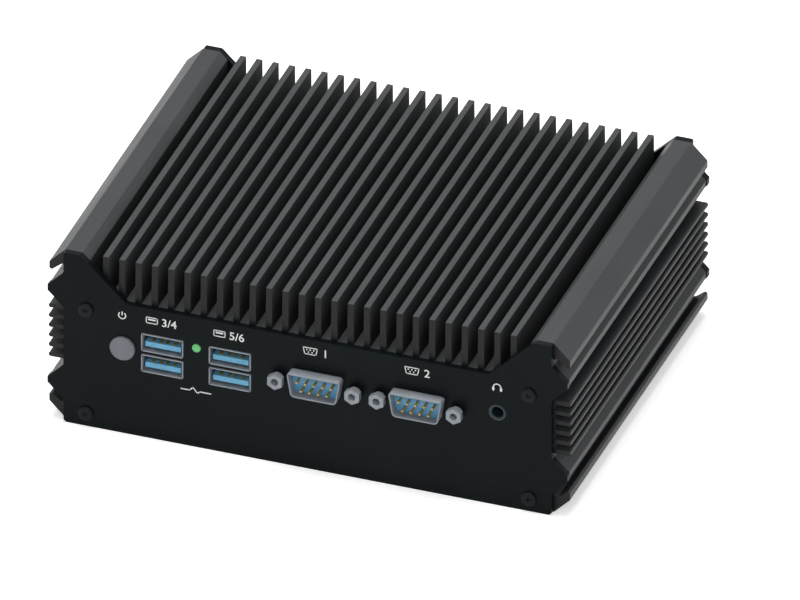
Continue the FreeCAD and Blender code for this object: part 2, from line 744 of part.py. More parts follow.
def interface_chips():
    """Two network controllers and the chip that serves the serial ports."""
    return [flat_chip(LAN_1_X, LAN_CHIP_Y, LAN_CHIP_W),
            flat_chip(LAN_2_X, LAN_CHIP_Y, LAN_CHIP_W),
            flat_chip(SERIAL_CHIP_X, SERIAL_CHIP_Y, SERIAL_CHIP_W)]


# ---------------------------------------------------------------- sockets
# Each socket is made in a frame of its own: +Y runs from the panel's inner face into the case,
# and z = 0 is the board's underside, so that z is negative in the socket.
def on_front(shape, x):
    """Set a socket into the front panel."""
    return facing(shape, V(x, -END, BOARD_UNDER), V(0, 0, 1))


def on_rear(shape, x):
    """Turn a socket round and set it into the rear panel."""
    place = FreeCAD.Placement(V(x, END, BOARD_UNDER), FreeCAD.Rotation(V(0, 0, 1), 180))
    return shape.transformed(place.toMatrix(), copy=True)


def usb_levels():
    """Heights of the two ports of a USB socket."""
    return (-USB_DROP, -USB_DROP - USB_PITCH)


def usb_cuts():
    """Panel openings for a USB socket."""
    half_w = USB_W / 2 + CUT_GAP
    half_h = USB_H / 2 + CUT_GAP
    return [box(-half_w, half_w, -PANEL, 0, z - half_h, z + half_h) for z in usb_levels()]


def usb_shell():
    """Sheet metal can with two rectangular mouths that reach through the panel."""
    half_w = USB_W / 2
    half_h = USB_H / 2
    low = usb_levels()[1] - half_h
    front = -PANEL - USB_PROUD
    face = SEAT + SHEET
    can = box(-half_w, half_w, SEAT, USB_DEPTH, low, 0)
    room = box(-half_w + SHEET, half_w - SHEET, face, USB_DEPTH - SHEET, low + SHEET, -SHEET)
    mouths = [box(-half_w, half_w, front, face, z - half_h, z + half_h) for z in usb_levels()]
    holes = [box(-half_w + USB_WALL, half_w - USB_WALL, front - 1, face + 1,
                 z - half_h + USB_WALL, z + half_h - USB_WALL) for z in usb_levels()]
    return fused([can.cut(room)] + mouths).cut(Part.Compound(holes))


def usb_insulator():
    """Moulded core of a USB socket: a rear block, a web between the ports and two tongues."""
    half_w = USB_W / 2 - SHEET - CARD_GAP
    half_open = USB_H / 2 - USB_WALL
    low = usb_levels()[1] - USB_H / 2 + SHEET + CARD_GAP
    back = USB_DEPTH - SHEET - CARD_GAP
    block_front = USB_DEPTH / 2
    face = SEAT + SHEET + CARD_GAP
    block = box(-half_w, half_w, block_front, back, low, -SHEET - CARD_GAP)
    web = box(-half_w, half_w, face, block_front, usb_levels()[1] + half_open, usb_levels()[0] - half_open)
    tip = -PANEL - USB_PROUD + TONGUE_BACK
    tongues = [box(-TONGUE_W / 2, TONGUE_W / 2, tip, block_front, z - TONGUE_LOW - TONGUE_T / 2,
                   z - TONGUE_LOW + TONGUE_T / 2) for z in usb_levels()]
    return fused([block, web] + tongues)


def usb_contacts():
    """Four contact strips on each tongue."""
    strips = []
    half = STRIP_W / 2
    start = -PANEL - USB_PROUD + TONGUE_BACK + STRIP_BACK
    for z in usb_levels():
        top = z - TONGUE_LOW + TONGUE_T / 2
        for x in STRIP_PLACES:
            strips.append(box(x - half, x + half, start, USB_DEPTH / 2, top, top + STRIP_T))
    return strips


def d_outline(grow):
    """Corners of the D-shaped mouth of a serial socket, wider at the top."""
    half_w = SERIAL_W / 2 + grow
    half_h = SERIAL_H / 2 + grow
    lean = 2 * half_h * math.tan(math.radians(SERIAL_SLOPE))
    radius = SERIAL_ROUND + grow
    top = -SERIAL_DROP + half_h
    low = -SERIAL_DROP - half_h
    return [(half_w, top, radius), (half_w - lean, low, radius),
            (-half_w + lean, low, radius), (-half_w, top, radius)]


def jack_places():
    """Where a serial socket's jackscrews are."""
    return (-JACK_PITCH / 2, JACK_PITCH / 2)


def serial_cuts():
    """Panel openings for a serial socket."""
    cuts = [bar_y(d_outline(CUT_GAP), -PANEL, 0, True)]
    for x in jack_places():
        cuts.append(flat_cross_bar(JACK_CORE_R + CUT_GAP, x, -SERIAL_DROP, -PANEL, 0))
    return cuts


def serial_shell():
    """Flange against the panel with the D-shaped rim, and riveted nuts for the jackscrews."""
    half_w = FLANGE_W / 2
    half_h = FLANGE_H / 2
    outline = rectangle(-half_w, half_w, -SERIAL_DROP - half_h, -SERIAL_DROP + half_h, EDGE_BEVEL)
    solids = [bar_y(outline, 0, FLANGE_T), bar_y(d_outline(0), -PANEL - SERIAL_PROUD, 0, True)]
    nut_end = FLANGE_T + JACK_NUT
    for x in jack_places():
        solids.append(bar_y(hexagon(JACK_NUT_AF, x, -SERIAL_DROP), FLANGE_T, nut_end))
    cuts = [bar_y(d_outline(-SERIAL_WALL), -PANEL - SERIAL_PROUD - 1, FLANGE_T + 1, True)]
    for x in jack_places():
        cuts.append(flat_cross_bar(JACK_CORE_R + TAP_GAP, x, -SERIAL_DROP, -1, nut_end + 1))
    return fused(solids).cut(Part.Compound(cuts))


def serial_pin_places():
    """Pins of a serial socket: five above, four below."""
    middle = -SERIAL_DROP - PIN_LOW
    top = [((i - 2) * PIN_PITCH, middle + PIN_ROWS / 2, 0) for i in range(5)]
    low = [((i - 1.5) * PIN_PITCH, middle - PIN_ROWS / 2, 1) for i in range(4)]
    return top + low


def serial_insulator():
    """Moulded insulator: its face lies in the well of the rim, its foot on the board."""
    face = -PANEL - SERIAL_PROUD + SERIAL_WELL
    plug = bar_y(d_outline(-SERIAL_WALL - CARD_GAP), face, FLANGE_T)
    half = JACK_PITCH / 2 - JACK_NUT_AF / math.sqrt(3) - CARD_GAP
    low = EDGE_BEVEL - SERIAL_DROP - FLANGE_H / 2
    body = box(-half, half, FLANGE_T, SERIAL_BODY, low, 0)
    holes = [flat_cross_bar(PIN_R, x, z, face - 1, SERIAL_BODY + 1) for x, z, row in serial_pin_places()]
    return fused([plug, body]).cut(Part.Compound(holes))


def serial_pins():
    """Pins with square tails that turn up into the board."""
    pins = []
    tip = -PANEL - SERIAL_PROUD + PIN_BACK
    half = PIN_LEG / 2
    for x, z, row in serial_pin_places():
        y = SERIAL_BODY + PIN_LEG_ROWS * (row + 0.5)
        shaft = flat_cross_bar(PIN_R, x, z, tip, y)
        leg = box(x - half, x + half, y - PIN_LEG, y, z, 0)
        pins.append(fused([shaft, leg]))
    return pins


def serial_jackscrews():
    """Hexagonal jackscrews with a threaded hole for the plug's screws."""
    screws = []
    front = -PANEL - SERIAL_PROUD
    for x in jack_places():
        head = bar_y(hexagon(JACK_AF, x, -SERIAL_DROP), front, -PANEL - JACK_NECK)
        neck = flat_cross_bar(JACK_NECK_R, x, -SERIAL_DROP, -PANEL - JACK_NECK, -PANEL)
        stud = flat_cross_bar(JACK_CORE_R, x, -SERIAL_DROP, -PANEL, FLANGE_T + JACK_NUT)
        hole = cross_bar(JACK_BORE_R, x, -SERIAL_DROP, front - 1, front + JACK_BORE)
        screws.append(fused([head, neck, stud]).cut(hole))
    return screws


def audio_jack():
    """Audio socket: a block on the board with a round nose in the panel."""
    half = AUDIO_W / 2
    body = box(-half, half, SEAT, AUDIO_DEPTH, -AUDIO_DROP - half, 0)
    nose = cross_bar(AUDIO_NOSE_R, 0, -AUDIO_DROP, -PANEL, SEAT)
    bore = cross_bar(AUDIO_BORE_R, 0, -AUDIO_DROP, -PANEL - 1, AUDIO_DEPTH - 1)
    return fused([body, nose]).cut(bore)


def led_holder():
    """Right-angled holder of the status light."""
    half = LED_R + 2 * CUT_GAP
    body = box(-half, half, 3 * SEAT, LED_BODY, -LED_DROP - half, 0)
    return body.cut(flat_cross_bar(LED_R + CUT_GAP, 0, -LED_DROP, 0, LED_SEAT + TAP_GAP))


def led_lens():
    """Status light, a short rod through the panel."""
    return cross_bar(LED_R, 0, -LED_DROP, -PANEL - LED_PROUD, LED_SEAT)


def power_button():
    """Button: a round cap, a collar behind the panel and a stem."""
    front = -PANEL - BUTTON_PROUD
    collar = SEAT + BUTTON_RIM
    cap = cross_bar(BUTTON_R, 0, -BUTTON_DROP, front, SEAT)
    rim = [e for e in cap.Edges if e.BoundBox.YMax < front + 0.1]
    cap = cap.makeChamfer(BUTTON_BEVEL, rim)
    ring = flat_cross_bar(BUTTON_R + BUTTON_RIM, 0, -BUTTON_DROP, SEAT, collar)
    stem = flat_cross_bar(STEM_R, 0, -BUTTON_DROP, collar, collar + STEM)
    return fused([cap, ring, stem])


def switch_plunger():
    """Square plunger of the switch, against the button's stem."""
    start = SEAT + BUTTON_RIM + STEM
    half = PLUNGER / 2
    return box(-half, half, start, start + PLUNGER_L, -BUTTON_DROP - half, -BUTTON_DROP + half)


def switch_housing():
    """Body of the switch, with a well that the plunger slides in."""
    front = SEAT + BUTTON_RIM + STEM + BUTTON_TRAVEL
    half = SWITCH_W / 2
    body = box(-half, half, front, front + SWITCH_L, -BUTTON_DROP - half, 0)
    slide = PLUNGER / 2 + SEAT
    end = SEAT + BUTTON_RIM + STEM + PLUNGER_L + BUTTON_TRAVEL + CUT_GAP
    well = box(-slide, slide, front - 1, end, -BUTTON_DROP - slide, -BUTTON_DROP + slide)
    return body.cut(well)


def lan_mouth(grow):
    """Stepped outline of a network socket's mouth, with its latch slot below."""
    half_w = LAN_MOUTH_W / 2 + grow
    middle = -LAN_H / 2 - LAN_MOUTH_LOW
    top = middle + LAN_MOUTH_H / 2 + grow
    low = middle - LAN_MOUTH_H / 2 - grow
    key = LAN_KEY_W / 2 + grow
    return both_sides([(half_w, top, 0), (half_w, low, 0), (key, low, 0), (key, low - LAN_KEY_H, 0)])


def lan_cut():
    """Panel opening for a network socket."""
    half = LAN_W / 2 + CUT_GAP
    return box(-half, half, -PANEL, 0, -LAN_H - CUT_GAP, CUT_GAP)


def lan_shell():
    """Shielding can of a network socket."""
    front = -PANEL - LAN_PROUD
    half = LAN_W / 2
    can = box(-half, half, front, LAN_DEPTH, -LAN_H, 0)
    room = box(-half + SHEET, half - SHEET, front + SHEET, LAN_DEPTH - SHEET, -LAN_H + SHEET, -SHEET)
    mouth = bar_y(lan_mouth(0.3), front - 1, front + SHEET + 1)
    return can.cut(room).cut(mouth)


def lan_insert():
    """Moulded insert with the well that the plug goes into."""
    front = -PANEL - LAN_PROUD + SHEET + CARD_GAP
    half = LAN_W / 2 - SHEET - CARD_GAP
    body = box(-half, half, front, LAN_DEPTH - SHEET - CARD_GAP,
               -LAN_H + SHEET + CARD_GAP, -SHEET - CARD_GAP)
    return body.cut(bar_y(lan_mouth(0), front - 1, front + LAN_WELL))


def lan_contacts():
    """Eight sprung wires that slope down from the roof of the well."""
    wires = []
    back = -PANEL - LAN_PROUD + SHEET + CARD_GAP + LAN_WELL
    roof = -LAN_H / 2 - LAN_MOUTH_LOW + LAN_MOUTH_H / 2
    tip = roof - LAN_WIRE_DROP
    start = back - LAN_WIRE_REACH
    for i in range(8):
        x = (i - 3.5) * LAN_PITCH
        slope = [(back, tip, 0), (back, tip - LAN_WIRE, 0), (start, roof - LAN_WIRE, 0), (start, roof, 0)]
        wires.append(bar_x(slope, x - LAN_WIRE / 2, x + LAN_WIRE / 2))
    return wires


def video_a_outline(grow):
    """Mouth with both upper corners cut off."""
    half_w = VIDEO_A_W / 2 + grow
    half_h = VIDEO_A_H / 2 + grow
    top = -VIDEO_DROP + half_h
    low = -VIDEO_DROP - half_h
    return both_sides([(half_w - VIDEO_CUT, top, 0), (half_w, top - VIDEO_CUT, 0), (half_w, low, 0)])


def video_b_outline(grow):
    """Mouth with one upper corner cut off."""
    half_w = VIDEO_B_W / 2 + grow
    half_h = VIDEO_B_H / 2 + grow
    top = -VIDEO_DROP + half_h
    low = -VIDEO_DROP - half_h
    return [(half_w - VIDEO_CUT, top, 0), (half_w, top - VIDEO_CUT, 0), (half_w, low, 0),
            (-half_w, low, 0), (-half_w, top, 0)]


def video_shell(outline):
    """Sheet metal shell of a video socket, closed behind."""
    tube = bar_y(outline(0), -PANEL - VIDEO_PROUD, VIDEO_DEPTH)
    foot = box(-VIDEO_FOOT / 2, VIDEO_FOOT / 2, PANEL / 2, VIDEO_DEPTH, -VIDEO_DROP, 0)
    hollow = bar_y(outline(-SHEET), -PANEL - VIDEO_PROUD - 1, VIDEO_DEPTH - SHEET)
    return fused([tube, foot]).cut(hollow)


def video_tongue(outline, width):
    """Insulator of a video socket with its flat tongue."""
    block = bar_y(outline(-SHEET - CARD_GAP), VIDEO_WELL, VIDEO_DEPTH - SHEET - CARD_GAP)
    half = width / 2 - SHEET - VIDEO_TONGUE_SIDE
    tip = -PANEL + VIDEO_PROUD
    tongue = box(-half, half, tip, tip + VIDEO_TONGUE_L,
                 -VIDEO_DROP - VIDEO_TONGUE_T / 2, -VIDEO_DROP + VIDEO_TONGUE_T / 2)
    return fused([block, tongue])


def dc_jack():
    """Power inlet: a block on the board with a round nose in the panel."""
    half = DC_W / 2
    front = -PANEL - VIDEO_PROUD
    body = box(-half, half, SEAT, DC_DEPTH, -DC_DROP - half, 0)
    nose = cross_bar(DC_NOSE_R, 0, -DC_DROP, front, SEAT)
    bore = cross_bar(DC_BORE_R, 0, -DC_DROP, front - 1, front + DC_WELL)
    return fused([body, nose]).cut(bore)


def dc_jack_pin():
    """Centre pin of the power inlet."""
    front = -PANEL - VIDEO_PROUD
    return cross_bar(DC_PIN_R, 0, -DC_DROP, front + DC_PIN_BACK, front + DC_WELL)


# ---------------------------------------------------------------- all nodes
def housing_nodes():
    """The case and its fasteners."""
    return {
        "heatsink_housing": [heatsink_housing()],
        "front_panel": [front_panel()],
        "rear_panel": [rear_panel()],
        "bottom_cover": [bottom_cover()],
        "front_panel_screws": panel_screws(-END - PANEL, -1),
        "rear_panel_screws": panel_screws(END + PANEL, 1),
        "bottom_cover_screws": [facing(sunk_screw(), V(x, y, 0), V(0, 0, -1))
                                for x, y in cover_screw_places()],
    }


def board_nodes():
    """The board and what is plugged or soldered to it inside the case."""
    return {
        "mainboard": [mainboard()],
        "board_spacers": [board_spacer(x, y) for x, y in board_screw_places()],
        "board_screws": board_screws(),
        "processor": [processor()],
        "thermal_pad": [thermal_pad()],
        "memory_socket": [memory_socket()],
        "memory_module": [memory_card()],
        "drive_socket": [drive_socket()],
        "solid_state_drive": [drive_card()],
        "drive_standoff": [drive_standoff()],
        "drive_screw": [drive_screw()],
        "cell_holder": [cell_holder()],
        "coin_cell": [coin_cell()],
        "power_inductors": power_inductors(),
        "capacitors": capacitors(),
        "interface_chips": interface_chips(),
    }


def usb_nodes(name, seat, x):
    """Shell, insulator and contacts of one USB socket."""
    return {
        "usb_shell_" + name: [seat(usb_shell(), x)],
        "usb_insulator_" + name: [seat(usb_insulator(), x)],
        "usb_contacts_" + name: [seat(strip, x) for strip in usb_contacts()],
    }


def serial_nodes(name, x):
    """The four kinds of piece of one serial socket."""
    return {
        "serial_shell_" + name: [on_front(serial_shell(), x)],
        "serial_insulator_" + name: [on_front(serial_insulator(), x)],
        "serial_pins_" + name: [on_front(pin, x) for pin in serial_pins()],
        "serial_jackscrews_" + name: [on_front(screw, x) for screw in serial_jackscrews()],
    }


def lan_nodes(name, x):
    """Shell, insert and contacts of one network socket."""
    return {
        "lan_shell_" + name: [on_rear(lan_shell(), x)],
        "lan_insert_" + name: [on_rear(lan_insert(), x)],
        "lan_contacts_" + name: [on_rear(wire, x) for wire in lan_contacts()],
    }


def front_nodes():
    """Everything that shows in the front panel."""
    nodes = {
        "power_button": [on_front(power_button(), BUTTON_X)],
        "switch_plunger": [on_front(switch_plunger(), BUTTON_X)],
        "switch_housing": [on_front(switch_housing(), BUTTON_X)],
        "led_holder": [on_front(led_holder(), LED_X)],
        "led_lens": [on_front(led_lens(), LED_X)],
        "audio_jack": [on_front(audio_jack(), AUDIO_X)],
    }
    nodes.update(usb_nodes("left", on_front, USB_LEFT_X))
    nodes.update(usb_nodes("right", on_front, USB_RIGHT_X))
    nodes.update(serial_nodes("1", SERIAL_1_X))
    nodes.update(serial_nodes("2", SERIAL_2_X))
    return nodes


def rear_nodes():
    """Everything that shows in the rear panel."""
    nodes = {
        "video_shell_a": [on_rear(video_shell(video_a_outline), VIDEO_A_X)],
        "video_tongue_a": [on_rear(video_tongue(video_a_outline, VIDEO_A_W), VIDEO_A_X)],
        "video_shell_b": [on_rear(video_shell(video_b_outline), VIDEO_B_X)],
        "video_tongue_b": [on_rear(video_tongue(video_b_outline, VIDEO_B_W), VIDEO_B_X)],
        "dc_jack": [on_rear(dc_jack(), DC_X)],
        "dc_jack_pin": [on_rear(dc_jack_pin(), DC_X)],
    }
    nodes.update(usb_nodes("rear", on_rear, USB_REAR_X))
    nodes.update(lan_nodes("1", LAN_1_X))
    nodes.update(lan_nodes("2", LAN_2_X))
    return nodes


def write_nodes(nodes):
    """One STEP file per node; a group of like pieces is a compound of solids."""
    os.makedirs("parts", exist_ok=True)
    for name, solids in nodes.items():
        shape = solids[0] if len(solids) == 1 else Part.Compound(solids)
        shape.exportStep("parts/" + name + ".step")


write_nodes({**housing_nodes(), **board_nodes(), **front_nodes(), **rear_nodes()})
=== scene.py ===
# %% [markdown]
# # A fanless industrial computer
#
# The object is a small computer without a fan. Its housing is one aluminium extrusion whose fins
# carry the heat away, and two flat panels close its ends. This lesson dresses its engineering
# model: the finishes are built from nodes, and screw heads, plated sockets, printed marks and
# other small things are modelled as one would by hand.
#
# The engineering model is loaded first, as a frame in metres that nothing here moves. Each piece
# takes its place from it, so the looks and the mechanics always agree.

# %% Load the frame
import math

import bmesh
import bpy
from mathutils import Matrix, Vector


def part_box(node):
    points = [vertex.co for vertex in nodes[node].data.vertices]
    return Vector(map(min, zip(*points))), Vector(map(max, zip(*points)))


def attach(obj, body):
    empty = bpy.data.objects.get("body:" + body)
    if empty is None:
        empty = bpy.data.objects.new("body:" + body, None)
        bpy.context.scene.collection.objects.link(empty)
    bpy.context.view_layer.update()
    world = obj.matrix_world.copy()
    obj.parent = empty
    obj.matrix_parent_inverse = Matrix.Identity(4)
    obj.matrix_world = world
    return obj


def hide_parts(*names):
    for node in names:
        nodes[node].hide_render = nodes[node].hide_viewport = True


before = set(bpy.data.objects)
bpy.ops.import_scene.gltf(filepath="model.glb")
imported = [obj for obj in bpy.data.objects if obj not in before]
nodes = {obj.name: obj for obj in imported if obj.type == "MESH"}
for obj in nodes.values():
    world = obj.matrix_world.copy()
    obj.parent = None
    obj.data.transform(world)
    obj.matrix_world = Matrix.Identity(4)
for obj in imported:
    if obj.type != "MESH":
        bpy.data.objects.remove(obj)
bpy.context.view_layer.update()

# %% [markdown]
# ## The size of things
#
# All lengths here are written in millimetres, because that is how a maker thinks of a screw or a
# socket, and one factor turns them into the metres of the frame. The places of the panels and of
# the sockets are read from the frame, so that nothing has to be typed twice. A panel is 2 mm
# thick, and what it keeps in starts a tenth of a millimetre behind it.

# %% Read the main places
MM = 0.001
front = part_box("front_panel")[0].y
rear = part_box("rear_panel")[1].y
case_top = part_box("front_panel")[1].z
behind_panel = front + 2.1 * MM


def middle(name):
    """The middle of a node's box."""
    low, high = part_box(name)
    return (low + high) / 2


print("front face at", round(front / MM, 2), "mm, rear face at", round(rear / MM, 2), "mm")

# %% [markdown]
# ## The camera
#
# A case with so many parallel edges reads best without perspective, so the camera is orthographic.
# It stands in front of the case, a little to its right, and looks down on the fins. Its place
# follows from two angles, the point that it looks at and the width that it sees.

# %% Place the camera
AZIMUTH = math.radians(19.97)
ELEVATION = math.radians(32.08)
AIM = Vector((10.15, -8.77, 30.55)) * MM
VIEW_WIDTH = 243.4 * MM
CAMERA_DISTANCE = 1.5

toward_camera = Vector((math.sin(AZIMUTH) * math.cos(ELEVATION),
                        -math.cos(AZIMUTH) * math.cos(ELEVATION),
                        math.sin(ELEVATION)))
bpy.ops.object.select_all(action="DESELECT")
bpy.ops.object.camera_add(location=AIM + toward_camera * CAMERA_DISTANCE)
camera = bpy.context.object
camera.name = "camera"
camera.rotation_euler = (-toward_camera).to_track_quat("-Z", "Y").to_euler()
camera.data.type = "ORTHO"
camera.data.ortho_scale = VIEW_WIDTH
bpy.context.scene.camera = camera
bpy.context.scene.view_settings.view_transform = "Standard"
print("the camera sees", round(VIEW_WIDTH / MM), "mm across")

# %% [markdown]
# ## Nodes and colours
#
# Every finish below is a small network of nodes. One function adds a node and another fills or
# joins its inputs, so that each material reads like a list. Colours are written as the hex values
# that a colour picker shows, and one function turns them into the linear values that a renderer
# calculates with.

# %% Write the helpers of every material
def linear(colour):
    """Linear red, green, blue and alpha of an sRGB hex colour."""
    parts = [int(colour[i:i + 2], 16) / 255 for i in (1, 3, 5)]
    return [c / 12.92 if c <= 0.04045 else ((c + 0.055) / 1.055) ** 2.4 for c in parts] + [1.0]


def feed(tree, target, inputs):
    """Links or fills inputs of a node."""
    for name, value in inputs.items():
        if isinstance(value, bpy.types.NodeSocket):
            tree.links.new(value, target.inputs[name])
        else:
            target.inputs[name].default_value = value


def node(tree, kind, inputs=None, **settings):
    """Adds a node, sets what it is told, and feeds its inputs."""
    added = tree.nodes.new(kind)
    for name, value in settings.items():
        setattr(added, name, value)
    feed(tree, added, inputs or {})
    return added


print("mid grey is", [round(c, 3) for c in linear("#808080")])

# %% [markdown]
# A material needs three things again and again: a tree with its shader and output, coordinates
# that stay with the object, and a colour that moves between two tones with a pattern. Object
# coordinates are used throughout, because they are real lengths: a grain of half a millimetre is
# half a millimetre on every piece.

# %% Write what most materials start with
TONE_STOPS = (0.3, 0.7)


def new_finish(name, specular=0.5, **values):
    """A material with its shader, whose fixed values are given, and its object coordinates."""
    material = bpy.data.materials.new(name)
    material.use_nodes = True
    tree = material.node_tree
    tree.nodes.clear()
    shader = node(tree, "ShaderNodeBsdfPrincipled", {"Specular IOR Level": specular, **values})
    node(tree, "ShaderNodeOutputMaterial", {"Surface": shader.outputs["BSDF"]})
    place = node(tree, "ShaderNodeTexCoord").outputs["Object"]
    return material, tree, shader, place


def pattern(tree, place, size, stretch=(1, 1, 1), detail=3.0):
    """Noise whose patches are about one size across, in metres, stretched where asked."""
    mapped = node(tree, "ShaderNodeMapping", {"Vector": place, "Scale": [1 / s for s in stretch]})
    noise = node(tree, "ShaderNodeTexNoise",
                 {"Vector": mapped.outputs["Vector"], "Scale": 1 / size, "Detail": detail})
    return noise.outputs["Fac"]


def between(tree, amount, low, high, dark=0.35, light=0.65):
    """A number that moves from low to high as a pattern goes from its dark to its light parts."""
    number = node(tree, "ShaderNodeMapRange", {"Value": amount, "From Min": dark, "From Max": light,
                                               "To Min": low, "To Max": high})
    return number.outputs["Result"]


def tones(tree, amount, *colours):
    """A colour that moves between two tones with a pattern."""
    ramp = node(tree, "ShaderNodeValToRGB", {"Fac": amount})
    for stop, position, colour in zip(ramp.color_ramp.elements, TONE_STOPS, colours):
        stop.position = position
        stop.color = linear(colour)
    return ramp.outputs["Color"]


def bumps(tree, height, depth, strength=1.0):
    """A normal from a pattern of that depth in metres."""
    raised = node(tree, "ShaderNodeBump",
                  {"Height": height, "Distance": depth, "Strength": strength})
    return raised.outputs["Normal"]


def dress(finish, *names):
    """Gives a finish to nodes of the frame."""
    for name in names:
        nodes[name].data.materials.clear()
        nodes[name].data.materials.append(finish)


print("helpers for finishes are ready")

# %% [markdown]
# ## Floor, backdrop and light
#
# The case stands on a plain pale floor in an almost white room. A floor that is only lit never
# looks quite white, so what the camera and mirrors see of it gets a little glow of its own, while
# the light that falls on the case stays as it is. Its shadow stays visible, because the glow is
# only a part of the floor's brightness.

# %% Build the floor
FLOOR_SIZE = 6.0
FLOOR_DROP = 0.05 * MM
FLOOR_CLOUD = 0.4
FLOOR_GLOW = 0.52


def seen_directly(tree):
    """One where the camera, a mirror or glass looks, and zero for light on its way."""
    ray = node(tree, "ShaderNodeLightPath").outputs
    seen = ray["Is Camera Ray"]
    for look in ("Is Glossy Ray", "Is Transmission Ray"):
        either = node(tree, "ShaderNodeMath", {0: seen, 1: ray[look]}, operation="MAXIMUM")
        seen = either.outputs["Value"]
    return seen


bpy.ops.object.select_all(action="DESELECT")
bpy.ops.mesh.primitive_plane_add(size=FLOOR_SIZE, location=(0, 0, -FLOOR_DROP))
floor = bpy.context.object
floor.name = "floor"
paper, tree, shader, place = new_finish("paper_backdrop", specular=0.0, Roughness=0.9)
cloud = pattern(tree, place, FLOOR_CLOUD)
glow = node(tree, "ShaderNodeMath", {0: seen_directly(tree), 1: FLOOR_GLOW}, operation="MULTIPLY")
feed(tree, shader, {
    "Base Color": tones(tree, cloud, "#F4F4F4", "#F8F8F8"),
    "Emission Color": (1, 1, 1, 1),
    "Emission Strength": glow.outputs["Value"]})
floor.data.materials.append(paper)
print("floor", FLOOR_SIZE, "m wide")

# %% [markdown]
# The room around is the world. It shows white behind the case and in everything that mirrors it,
# and it lights the case only weakly, so that the lamps can shape the fins.

# %% Set the world
ROOM_LIGHT = 0.24

world = bpy.data.worlds.new("white_room")
bpy.context.scene.world = world
world.use_nodes = True
tree = world.node_tree
tree.nodes.clear()
strength = between(tree, seen_directly(tree), ROOM_LIGHT, 1.0, dark=0.0, light=1.0)
room = node(tree, "ShaderNodeBackground", {"Color": (1, 1, 1, 1), "Strength": strength})
node(tree, "ShaderNodeOutputWorld", {"Surface": room.outputs["Background"]})
print("the room lights the case at", ROOM_LIGHT)

# %% [markdown]
# Two soft lamps are enough. A wide one hangs right above, so that the tips of the fins and the
# tops of the rails are bright while the gaps between the fins fall into shade with their depth. A
# weak one near the camera keeps the front panel and its sockets readable.

# %% Hang the lamps
# Name, place and width in metres, and watts.
LAMPS = [("lamp_above", (-0.1, 0.1, 1.6), 0.9, 23.0),
         ("lamp_front", (0.3, -1.5, 1.15), 1.0, 8.0)]

for name, place, width, watts in LAMPS:
    bpy.ops.object.select_all(action="DESELECT")
    bpy.ops.object.light_add(type="AREA", location=place)
    lamp = bpy.context.object
    lamp.name = name
    lamp.rotation_euler = (AIM - Vector(place)).to_track_quat("-Z", "Y").to_euler()
    lamp.data.size = width
    lamp.data.energy = watts
print(len(LAMPS), "lamps")

# %% [markdown]
# ## Anodised aluminium
#
# The housing is pressed through a die as one long bar, cut to length, blasted with fine beads and
# then anodised black. The oxide layer is dyed and matt, so the light spreads on it, and the die
# leaves faint lines that run along the fins. A noise stretched along the case draws these lines in
# the roughness, and a slow cloud moves the tone. The surface counts as a dielectric, because the
# eye sees the dyed oxide and hardly the metal under it. Faces that look along the case, such as the
# sawn ends and the fronts of the fins, get less light, so a much darker painted shade is put on
# them, picked out by the normal. The sides of the fins in the narrow gaps are duller, and a painted
# shade darkens them with their depth, where the light hardly falls.

# %% Make the anodised finish
GAP_REACH = 72.0 * MM
GAP_EDGE = 0.1 * MM
GAP_SHADE = 10 * MM
FACING = {"dark": 0.7, "light": 0.9}
MIX_AMOUNT, MIX_FROM, MIX_TO, MIX_RESULT = 0, 6, 7, 2

anodised, tree, shader, place = new_finish("anodised_aluminium_bead_blasted", 0.22, Metallic=0.0)
die_lines = pattern(tree, place, 0.7 * MM, stretch=(1, 60, 1))
blasting = pattern(tree, place, 0.35 * MM, detail=2.0)
cloud = pattern(tree, place, 30 * MM)
drawn = tones(tree, cloud, "#383A3C", "#404244")
# Painted shade: a near-black tone for the sides of the fins deep in the gaps, where little light
# falls.
gap_shade_tones = tones(tree, cloud, "#090A0A", "#0E0F0F")
# Painted shade: a much darker tone for faces that look along the case, which get less light.
end_face_shade_tones = tones(tree, blasting, "#0E0F10", "#141516")

looks = node(tree, "ShaderNodeNewGeometry").outputs["Normal"]
looks = node(tree, "ShaderNodeSeparateXYZ", {"Vector": looks}).outputs
spot = node(tree, "ShaderNodeSeparateXYZ", {"Vector": place}).outputs
along_case, sideways, off_middle = [
    node(tree, "ShaderNodeMath", {0: value}, operation="ABSOLUTE").outputs["Value"]
    for value in (looks["Y"], looks["X"], spot["X"])]
is_end = between(tree, along_case, 0.0, 1.0, **FACING)
is_side = between(tree, sideways, 0.0, 1.0, **FACING)
among_fins = between(tree, off_middle, 1.0, 0.0, dark=GAP_REACH, light=GAP_REACH + GAP_EDGE)
in_gap = node(tree, "ShaderNodeMath", {0: is_side, 1: among_fins}, operation="MULTIPLY")
in_gap = in_gap.outputs["Value"]
# The painted shade grows with how far a point lies below the tops of the fins.
depth = between(tree, spot["Z"], 1.0, 0.0, dark=case_top - GAP_SHADE, light=case_top)
painted_gap_shade = node(tree, "ShaderNodeMath", {0: in_gap, 1: depth}, operation="MULTIPLY")

# The painted shade in the gaps goes over the drawn tone with depth.
drawn_with_gap_shade = node(tree, "ShaderNodeMix", data_type="RGBA", inputs={
    MIX_AMOUNT: painted_gap_shade.outputs["Value"], MIX_FROM: drawn, MIX_TO: gap_shade_tones})
# Then the painted shade on faces that look along the case goes over it.
skin = node(tree, "ShaderNodeMix", data_type="RGBA", inputs={
    MIX_AMOUNT: is_end, MIX_FROM: drawn_with_gap_shade.outputs[MIX_RESULT], MIX_TO: end_face_shade_tones})
as_drawn = between(tree, die_lines, 0.42, 0.52)
feed(tree, shader, {
    "Base Color": skin.outputs[MIX_RESULT],
    "Roughness": between(tree, in_gap, as_drawn, 0.9, dark=0.0, light=1.0),
    "Normal": bumps(tree, blasting, 0.012 * MM, 0.6)})
dress(anodised, "heatsink_housing")
print(anodised.name)

